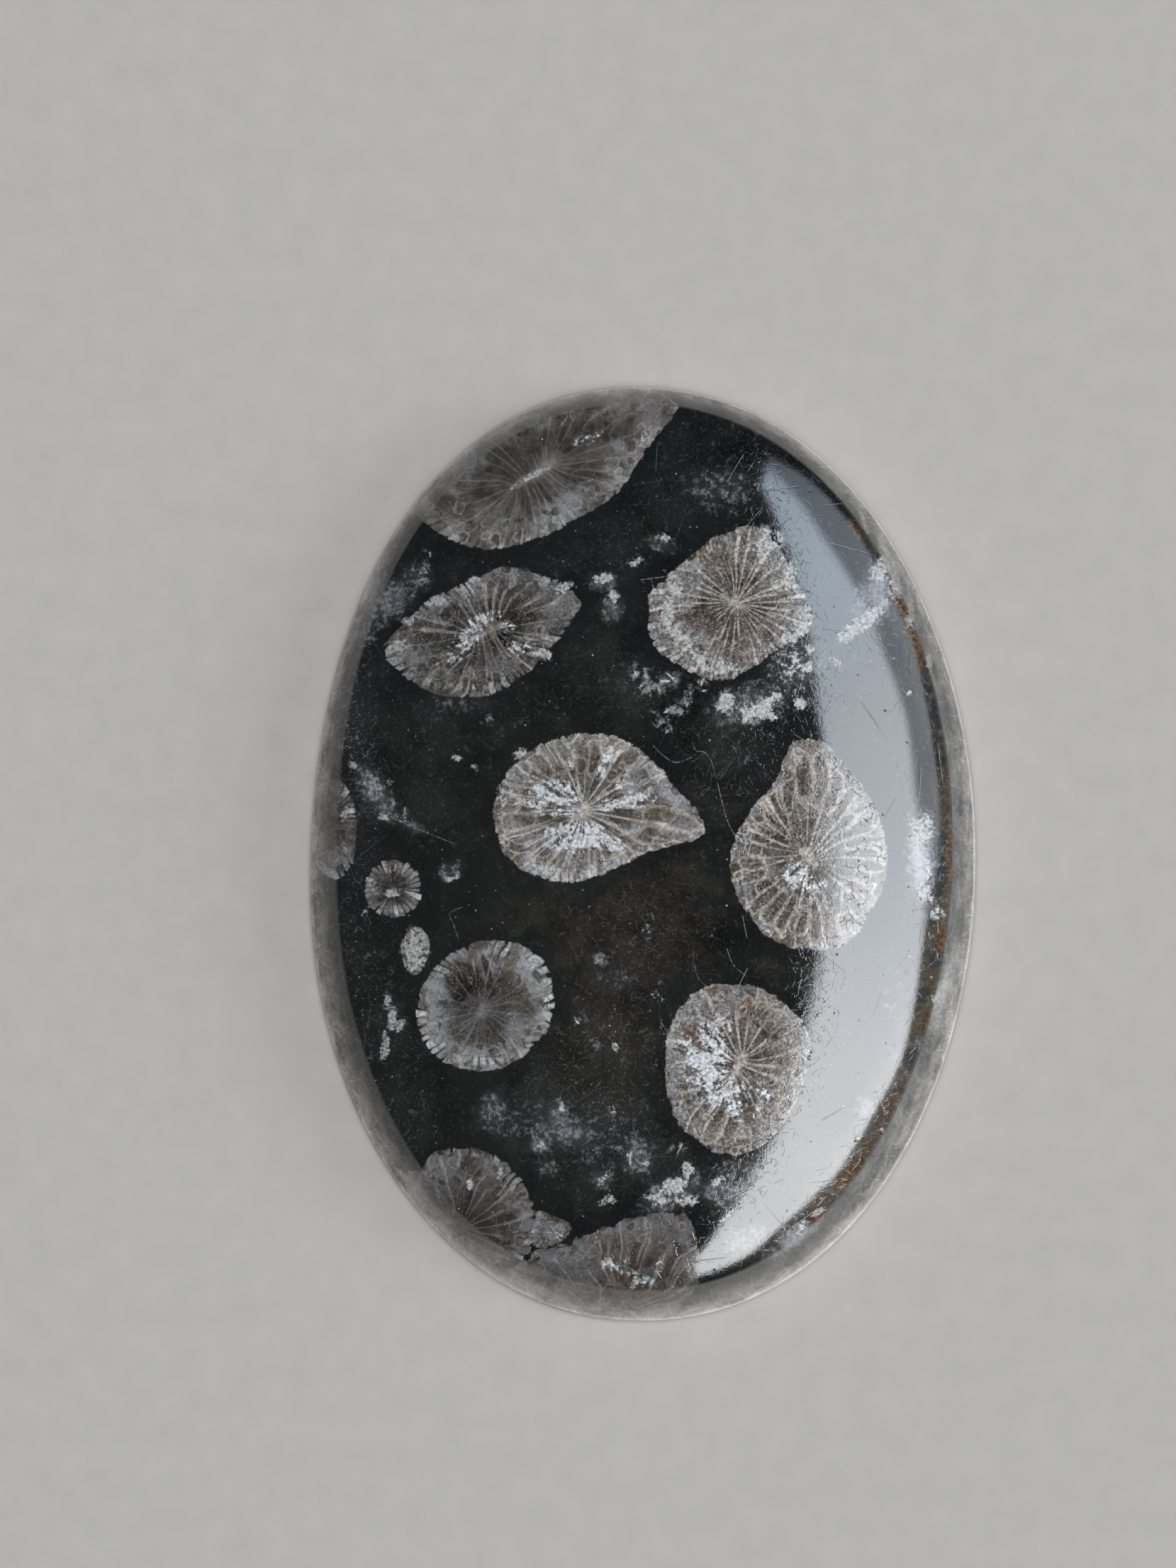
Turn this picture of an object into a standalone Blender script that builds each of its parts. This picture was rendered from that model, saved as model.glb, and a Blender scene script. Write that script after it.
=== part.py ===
"""Fossil coral cabochon: one piece of agatised coral, cut to an oval with a domed top.

The stone lies on its flat base at z = 0, with its length along Y and its dome up. Its outline
is a calibrated 25 x 35 mm oval, slightly fuller than an ellipse and slightly lopsided, because
it was ground by hand. Going up, the profile has a narrow bevel round the base, a wall that leans
in, more so at the -Y end, and a dome that meets the wall at an edge, the girdle line, and is part
of an ellipse in section. The coral's pattern is colour only, so it isn't raised.

Metres, +Z up. Run with: blender --background --python part.py
"""

import math

import bmesh
import bpy
import numpy as np

MM = 0.001

# Driving dimensions
LENGTH = 35.1 * MM
WIDTH = 25.0 * MM
HEIGHT = 6.8 * MM
WALL_HEIGHT = 2.6 * MM  # from the base to the girdle line, where the dome starts
WALL_LEAN = 0.95 * MM  # how far in the wall leans over its height, along the stone's sides
LEAN_EXTRA = 0.3 * MM  # how much more it leans in at the -Y end, and less at the +Y end
WALL_CURVE = 1.25  # 1 makes the wall straight, and more makes it bulge a little near the base
SHOULDER = 34.8  # degrees of the dome's ellipse that lie below the girdle line and are left out
BEVEL_HEIGHT = 0.35 * MM
BEVEL_INSET = 0.35 * MM

# The oval: |x/a|^n + |y/b|^n = 1, where n = 2 is an ellipse
OVAL_EXPONENT = 2.1

# What the hand grinding adds to the oval's radius: one wave in three and one in four round it
THREE_WAVE = (0.052 * MM, -0.065 * MM)
FOUR_WAVE = (0.022 * MM, 0.039 * MM)

# How finely the surface is faceted
SIDES = 120
WALL_RINGS = 3
DOME_RINGS = 17

STONE_COLOUR = (0.032, 0.033, 0.034, 1.0)
STONE_ROUGHNESS = 0.12


def clear_scene() -> None:
    """Remove every object of the scene."""
    for item in list(bpy.data.objects):
        bpy.data.objects.remove(item, do_unlink=True)


def oval_radius(turn: np.ndarray) -> np.ndarray:
    """Radius of the hand-ground oval in each direction, before it is centred and sized.

    Args:
        turn: angles round the stone in radians, from +X towards +Y.
    """
    across = np.abs(np.cos(turn)) / (WIDTH / 2)
    along = np.abs(np.sin(turn)) / (LENGTH / 2)
    radius = (across**OVAL_EXPONENT + along**OVAL_EXPONENT) ** (-1 / OVAL_EXPONENT)
    radius += THREE_WAVE[0] * np.cos(3 * turn) + THREE_WAVE[1] * np.sin(3 * turn)
    radius += FOUR_WAVE[0] * np.cos(4 * turn) + FOUR_WAVE[1] * np.sin(4 * turn)
    return radius


def outline() -> np.ndarray:
    """Points of the outline, SIDES rows of x and y, sized and centred to WIDTH by LENGTH."""
    turn = np.linspace(0.0, 2 * math.pi, SIDES, endpoint=False)
    radius = oval_radius(turn)
    points = np.column_stack((radius * np.cos(turn), radius * np.sin(turn)))
    low = points.min(axis=0)
    high = points.max(axis=0)
    centred = points - (low + high) / 2
    return centred * np.array((WIDTH, LENGTH)) / (high - low)


def inset(points: np.ndarray, depth: np.ndarray) -> np.ndarray:
    """Move outline points towards the middle, each by its own depth in metres."""
    distance = np.linalg.norm(points, axis=1)
    return points * (1.0 - depth / distance)[:, None]


def levels() -> list[tuple[np.ndarray, float]]:
    """Rings of the stone from the base up, each its points and its height.

    The wall's inset is its lean times the share of its height, raised to WALL_CURVE. The dome's
    rings shrink by the cosine and rise by the sine of an angle that grows from the shoulder at
    the girdle line to a right angle at the top, so its section is part of an ellipse.
    """
    widest = outline()
    turn = np.arctan2(widest[:, 1], widest[:, 0])
    lean = WALL_LEAN - LEAN_EXTRA * np.sin(turn)
    flat = np.ones(SIDES)
    rings = [(inset(widest, BEVEL_INSET * flat), 0.0)]
    for step in range(WALL_RINGS):
        share = step / WALL_RINGS
        height = BEVEL_HEIGHT + (WALL_HEIGHT - BEVEL_HEIGHT) * share
        rings.append((inset(widest, lean * share**WALL_CURVE), height))
    girdle = inset(widest, lean)
    start = math.radians(SHOULDER)
    sweep = math.radians(90.0) - start
    rise = (HEIGHT - WALL_HEIGHT) / (1.0 - math.sin(start))
    for ring in range(DOME_RINGS):
        lift = start + sweep * ring / DOME_RINGS
        height = WALL_HEIGHT + rise * (math.sin(lift) - math.sin(start))
        rings.append((girdle * math.cos(lift) / math.cos(start), height))
    return rings


def raise_levels(mesh: bmesh.types.BMesh) -> None:
    """Draw the base face, then extrude it up through every ring and close it at the top.

    Each corner keeps the number of its outline point in a layer that the extrusion copies, so
    the corners of a new ring know where they belong.
    """
    number = mesh.verts.layers.int.new("outline_point")
    base, *upper = levels()
    corners = []
    for index, point in enumerate(base[0]):
        corner = mesh.verts.new((*point, base[1]))
        corner[number] = index
        corners.append(corner)
    mesh.faces.new(reversed(corners))
    top = mesh.faces.new([mesh.verts.new(corner.co) for corner in corners])
    for corner, copied in zip(corners, top.verts):
        copied[number] = corner[number]
    for points, height in upper:
        grown = bmesh.ops.extrude_face_region(mesh, geom=[top])
        bmesh.ops.delete(mesh, geom=[top], context="FACES_ONLY")
        top = next(item for item in grown["geom"] if isinstance(item, bmesh.types.BMFace))
        for corner in top.verts:
            corner.co = (*points[corner[number]], height)
    bmesh.ops.poke(mesh, faces=[top])["verts"][0].co = (0.0, 0.0, HEIGHT)
    bmesh.ops.remove_doubles(mesh, verts=mesh.verts, dist=0.001 * MM)
    bmesh.ops.recalc_face_normals(mesh, faces=mesh.faces)


def stone_material() -> bpy.types.Material:
    """Polished near-black agate, the colour of the stone between the corallites."""
    material = bpy.data.materials.new("agatised_coral")
    material.use_nodes = True
    shader = material.node_tree.nodes["Principled BSDF"]
    shader.inputs["Base Color"].default_value = STONE_COLOUR
    shader.inputs["Roughness"].default_value = STONE_ROUGHNESS
    shader.inputs["Metallic"].default_value = 0.0
    shader.inputs["IOR"].default_value = 1.54
    return material


def build_cabochon() -> bpy.types.Object:
    """Build the stone as one closed object named cabochon."""
    mesh = bmesh.new()
    raise_levels(mesh)
    data = bpy.data.meshes.new("cabochon")
    mesh.to_mesh(data)
    mesh.free()
    data.shade_smooth()
    data.set_sharp_from_angle(angle=math.radians(30.0))
    data.materials.append(stone_material())
    stone = bpy.data.objects.new("cabochon", data)
    bpy.context.scene.collection.objects.link(stone)
    return stone


clear_scene()
build_cabochon()
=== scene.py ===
"""Looks of the fossil coral cabochon: a polished oval of dark agate with grey corallites in it.

The stone is one closed surface of two parameters: the turn round the oval, and the way from the
top of the dome over the girdle line, down the wall and in along the base. Its pattern is colour
and fine relief only. Every corallite has coordinates of its own, from its columella to its rim,
and the marks between and on them are soft patches placed one by one.

Lengths are in millimetres here, and a mesh, a light and the camera are placed in metres. x runs
across the stone, y along it and z up, from the middle of the base.
"""

import logging
import math
from collections.abc import Callable
from dataclasses import dataclass, field
from enum import Enum

import bpy
import numpy as np
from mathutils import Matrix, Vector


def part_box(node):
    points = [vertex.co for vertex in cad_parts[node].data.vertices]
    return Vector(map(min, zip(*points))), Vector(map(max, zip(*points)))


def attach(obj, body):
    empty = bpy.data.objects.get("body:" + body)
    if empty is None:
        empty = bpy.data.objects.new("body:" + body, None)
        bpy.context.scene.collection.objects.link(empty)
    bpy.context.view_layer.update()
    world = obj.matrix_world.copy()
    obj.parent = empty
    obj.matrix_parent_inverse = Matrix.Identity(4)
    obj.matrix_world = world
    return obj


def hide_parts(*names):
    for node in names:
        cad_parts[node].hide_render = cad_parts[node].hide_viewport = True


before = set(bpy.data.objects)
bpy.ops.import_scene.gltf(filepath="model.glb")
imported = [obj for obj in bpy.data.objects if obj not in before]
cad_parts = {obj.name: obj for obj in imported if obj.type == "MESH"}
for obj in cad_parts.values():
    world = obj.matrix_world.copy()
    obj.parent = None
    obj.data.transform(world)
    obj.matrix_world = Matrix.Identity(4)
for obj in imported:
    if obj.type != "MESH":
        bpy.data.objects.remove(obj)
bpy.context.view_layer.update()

NODE = "cabochon"
BODY = "root"
METRES = 0.001  # a millimetre in metres
RIM_STEPS = 24  # points of a corallite's outline for each one given
FIBRE_STEPS = 6  # the same for a fibre

Pair = tuple[float, float]
Colour = tuple[float, float, float]
Table = tuple[Pair, ...]

log = logging.getLogger("cabochon")


class Zone(Enum):
    """The parts of the stone's surface, going down, each with its number of rings."""

    DOME = 140
    WALL = 16
    BEVEL = 4
    BASE = 40


class Mark(Enum):
    """Kinds of marks that are placed one by one."""

    POWDER = "blue-white grains in the open pores of a corallite"
    MILK = "grey-blue translucent chalcedony in a corallite"
    CLOUD = "soft grey clouds in the dark stone"
    CRYSTAL = "white crystalline grains"
    BROWN = "red-brown filling of a chamber"
    DARK = "empty dark chamber or crack"
    RUST = "iron stain beside the girdle line"
    GLOOM = "clear dark stone with nothing in it"
    # The mist marks are paler, flecked stone, except the long one on the -X flank of the dome, which is a
    # painted reflection.
    MIST = "dark stone that is paler and more flecked"
    ROUGH = "grinding marks that weren't polished out"


@dataclass(frozen=True)
class Oval:
    """The stone's outline: |x/a|^n + |y/b|^n = 1, with a wave in three and one in four round it.

    Attributes:
        width: size across, in millimetres.
        length: size along, in millimetres.
        exponent: n, where 2 is an ellipse.
        three_wave: cosine and sine height of the wave in three.
        four_wave: cosine and sine height of the wave in four.
    """

    width: float
    length: float
    exponent: float = 2.1
    three_wave: Pair = (0.052, -0.065)
    four_wave: Pair = (0.022, 0.039)

    def points(self, turn: np.ndarray) -> np.ndarray:
        """Points of the outline, centred on their box and scaled to the width and length.

        Args:
            turn: angles from +X towards +Y, in radians.

        Returns:
            An array of one row of x and y for each turn.
        """
        across = np.abs(np.cos(turn)) / (self.width / 2)
        along = np.abs(np.sin(turn)) / (self.length / 2)
        radius = (across**self.exponent + along**self.exponent) ** (-1 / self.exponent)
        radius += self.three_wave[0] * np.cos(3 * turn) + self.three_wave[1] * np.sin(3 * turn)
        radius += self.four_wave[0] * np.cos(4 * turn) + self.four_wave[1] * np.sin(4 * turn)
        points = np.column_stack((radius * np.cos(turn), radius * np.sin(turn)))
        low, high = points.min(axis=0), points.max(axis=0)
        return (points - (low + high) / 2) * np.array((self.width, self.length)) / (high - low)


@dataclass(frozen=True)
class Corallite:
    """One tube of the coral, cut across by the dome.

    Its own coordinates are those of confocal ellipses round the columella. With z the point from
    the hub, turned by the tilt and divided by half the columella's length c, arccosh(z) = m + i v.
    v is the turn round the columella, and the share of the way out to the rim is sinh(m) divided
    by its value on the rim at the same v.

    Attributes:
        name: where it lies on the stone.
        hub: middle of the columella.
        rim: points that a smooth closed curve passes through, going round.
        septa: number of long septa.
        tilt: direction of the columella from +X, in degrees.
        columella: half the length of the columella's line.
        tone: how pale it is, where 1 is usual.
        grain: how grainy it is.
        ribs: how strongly the ribs at its rim show.
        warm: how reddish its chambers are, from 0 to 1.
        lines: how strongly its septa show.
        milky: how much grey-blue chalcedony its outer zone holds, from 0 to 1.
        arches: how strongly the long rounded chambers near its rim show.
    """

    name: str
    hub: Pair
    rim: Table
    septa: int
    tilt: float = 0.0
    columella: float = 0.25
    tone: float = 1.0
    grain: float = 1.0
    ribs: float = 1.0
    warm: float = 0.2
    lines: float = 0.8
    milky: float = 0.3
    arches: float = 0.25

    def own(self, x: np.ndarray, y: np.ndarray) -> tuple[np.ndarray, np.ndarray]:
        """The two parts m and v of arccosh(z) at some points.

        Args:
            x: positions across the stone.
            y: positions along the stone.

        Returns:
            The arrays m and v.
        """
        turned = ((x - self.hub[0]) + 1j * (y - self.hub[1])) * np.exp(-1j * math.radians(self.tilt))
        own = np.arccosh(turned / self.columella)
        return np.abs(own.real), own.imag

    def place(self, x: np.ndarray, y: np.ndarray) -> tuple[np.ndarray, np.ndarray, np.ndarray]:
        """Coordinates in the corallite, 0 at the columella and 1 at the rim.

        Args:
            x: positions across the stone.
            y: positions along the stone.

        Returns:
            The coordinates u and v, as a point in the unit disc, and the rim's distance from the
            columella in that direction, in millimetres.
        """
        edge = smooth_curve(np.array(self.rim), RIM_STEPS, closed=True)
        edge_out, edge_turn = self.own(edge[:, 0], edge[:, 1])
        order = np.argsort(edge_turn)
        out, turn = self.own(x, y)
        reach = np.sinh(np.interp(turn, edge_turn[order], edge_out[order], period=2 * math.pi))
        share = np.sinh(out) / reach
        return share * np.cos(turn), share * np.sin(turn), reach * self.columella


CORALLITES = (
    Corallite(
        "top left", (-4.1, 14.2),
        ((-8.05, 12.35), (-7.4, 11.85), (-6.4, 11.5), (-5.45, 11.4), (-3.7, 11.9), (-2.1, 12.75),
         (-0.85, 13.65), (0.25, 15.3), (1.05, 16.3), (1.2, 17.2), (-1.25, 18.3), (-4.45, 18), (-7.65, 16.1),
         (-9.25, 13.5)),
        septa=34, tilt=33, columella=1, tone=0.94, grain=0.1, ribs=0.5, warm=0, lines=0.35),
    Corallite(
        "upper left", (-5.85, 8.3),
        ((-9.7, 7.75), (-9.25, 6.95), (-8.05, 6.1), (-7, 5.9), (-5.7, 5.95), (-4.5, 6.65), (-3.65, 7.45),
         (-2.45, 9), (-2.4, 9.55), (-2.95, 10.1), (-3.85, 10.45), (-4.75, 10.75), (-5.45, 10.7),
         (-6.3, 10.3), (-8, 9.55), (-9, 8.65)),
        septa=26, tilt=24, columella=0.7, tone=0.66, grain=0.5, ribs=0.9, warm=0.05, lines=1.3, milky=0.5,
        arches=0.4),
    Corallite(
        "upper right", (3.45, 9.4),
        ((0.15, 9.1), (0.3, 9.85), (1.3, 10.75), (2.55, 11.8), (3.35, 12.1), (4.15, 12.3), (5.05, 11.45),
         (5.7, 10.2), (6.3, 9.1), (6.15, 8.45), (5.1, 7.7), (3.7, 6.75), (3, 6.45), (2.2, 6.6), (0.7, 7.45),
         (0.2, 8.2)),
        septa=34, tilt=-30, columella=0.2, tone=1.06, grain=0.9, ribs=0.6, warm=0.35, lines=1.3, milky=0.1,
        arches=0.15),
    Corallite(
        "middle", (-2.25, 1.65),
        ((-5.6, 1.6), (-5.2, 2.85), (-4.6, 3.6), (-3.65, 4.2), (-2.45, 4.5), (-1.3, 4.5), (-0.35, 4.1),
         (0.55, 3.3), (1.25, 2.45), (1.95, 1.75), (2.32, 1), (2.05, 0.6), (0.95, 0.3), (0, 0),
         (-0.9, -0.45), (-1.9, -0.85), (-2.9, -1.05), (-3.8, -0.9), (-4.75, -0.4), (-5.4, 0.45)),
        septa=26, tilt=85, columella=0.3, tone=1.16, grain=0.5, ribs=0.5, warm=0.3, lines=1.15, milky=0.8,
        arches=0.6),
    Corallite(
        "right", (6.15, -0.1),
        ((5.55, 4.2), (6.5, 4.25), (7.1, 3.85), (7.8, 3), (8.7, 1.75), (9.05, 0.6), (9.1, -0.55),
         (8.8, -1.6), (7.8, -3.15), (6.8, -3.5), (5.65, -3.5), (4.5, -2.95), (3.55, -1.65), (3.2, -0.45),
         (3.45, 0.7), (4.2, 1.95), (4.95, 2.85)),
        septa=28, tilt=-40, columella=0.45, tone=0.98, grain=0.8, ribs=0.3, warm=0.6, lines=1.2, milky=0.1,
        arches=1),
    Corallite(
        "lower right", (3.55, -7.85),
        ((0.8, -8.3), (0.85, -6.95), (1.1, -6.05), (1.7, -5.3), (2.5, -4.85), (3.85, -4.85), (4.85, -5.25),
         (5.8, -6.05), (6.2, -6.95), (6.15, -7.9), (5.7, -9.2), (4.7, -10.65), (3.55, -11.2), (2.5, -11),
         (1.4, -10.15), (0.95, -9.2)),
        septa=22, tilt=60, columella=0.5, tone=1.02, grain=0.8, ribs=0.3, warm=0.6, lines=1.4, milky=0.2,
        arches=0.5),
    Corallite(
        "lower left", (-6.05, -5.8),
        ((-8.5, -5.85), (-8.3, -4.95), (-7.45, -3.85), (-6.45, -3.3), (-5.45, -3.15), (-4.3, -3.45),
         (-3.55, -4.3), (-3.35, -5.55), (-3.65, -6.65), (-4.6, -7.6), (-5.8, -8.05), (-7.05, -7.9),
         (-8.05, -7.2)),
        septa=22, tilt=80, columella=0.25, tone=0.9, grain=0.3, ribs=1.1, warm=0.2, lines=0.5, milky=0.9,
        arches=0.1),
    Corallite(
        "small, at the left", (-9.35, -1.25),
        ((-8.3, -1.25), (-8.55, -0.5), (-9.35, -0.2), (-10.15, -0.5), (-10.4, -1.25), (-10.15, -2.05),
         (-9.35, -2.35), (-8.55, -2.05)),
        septa=14, columella=0.08, tone=0.72, grain=0.3, ribs=1.4, warm=0.1, lines=0.4),
    Corallite(
        "left, cut by the wall", (-12.05, 1.1),
        ((-10.75, 0.95), (-10.9, -0.3), (-11.45, -0.95), (-12.45, -0.95), (-13.1, 0.95), (-12.45, 2.8),
         (-11.45, 2.8), (-10.9, 2.15)),
        septa=18, tilt=90, columella=0.3, tone=0.75, grain=0.3, warm=0.1, lines=0.4),
    Corallite(
        "broken piece", (-8.5, -3.6),
        ((-9.05, -3.35), (-8.7, -2.8), (-8.3, -2.75), (-8, -3.2), (-8.05, -3.85), (-8.45, -4.45),
         (-8.9, -4.2)),
        septa=7, tilt=80, columella=0.3, tone=1.2, grain=1.2, ribs=0, warm=0),
    Corallite(
        "bottom left, cut by the wall", (-6.9, -14.15),
        ((-8.25, -11.75), (-7.85, -11.15), (-6.85, -10.95), (-5.8, -11.15), (-5, -11.65), (-4.35, -12.5),
         (-4, -13.6), (-4.15, -14.55), (-4.6, -15.3), (-6.6, -16.95), (-8.45, -15.85), (-8.85, -13.2)),
        septa=24, tilt=70, columella=0.25, tone=0.58, grain=0.2, ribs=1, lines=0.95, milky=0.3),
    Corallite(
        "bottom, cut by the wall", (-0.6, -18.1),
        ((-4.2, -14.95), (-2.75, -14.5), (-1.6, -13.95), (-0.1, -13.45), (1.1, -13.35), (1.7, -13.55),
         (2, -14.4), (2.1, -15.75), (1.7, -17.75), (-0.7, -19.05), (-3.4, -18), (-4.6, -16.15)),
        septa=28, columella=0.4, tone=0.6, grain=0.2, ribs=0.4, warm=0.8, lines=1.1, milky=0.3, arches=0.4),
    Corallite(
        "wedge between the bottom two", (-3.5, -14.15),
        ((-3.95, -13.35), (-3.4, -13.5), (-2.75, -13.8), (-2.8, -14.25), (-3.4, -14.65), (-4.05, -14.7),
         (-4.3, -14.15)),
        septa=7, columella=0.2, grain=0.8, ribs=0.2, arches=0),
)

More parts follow.
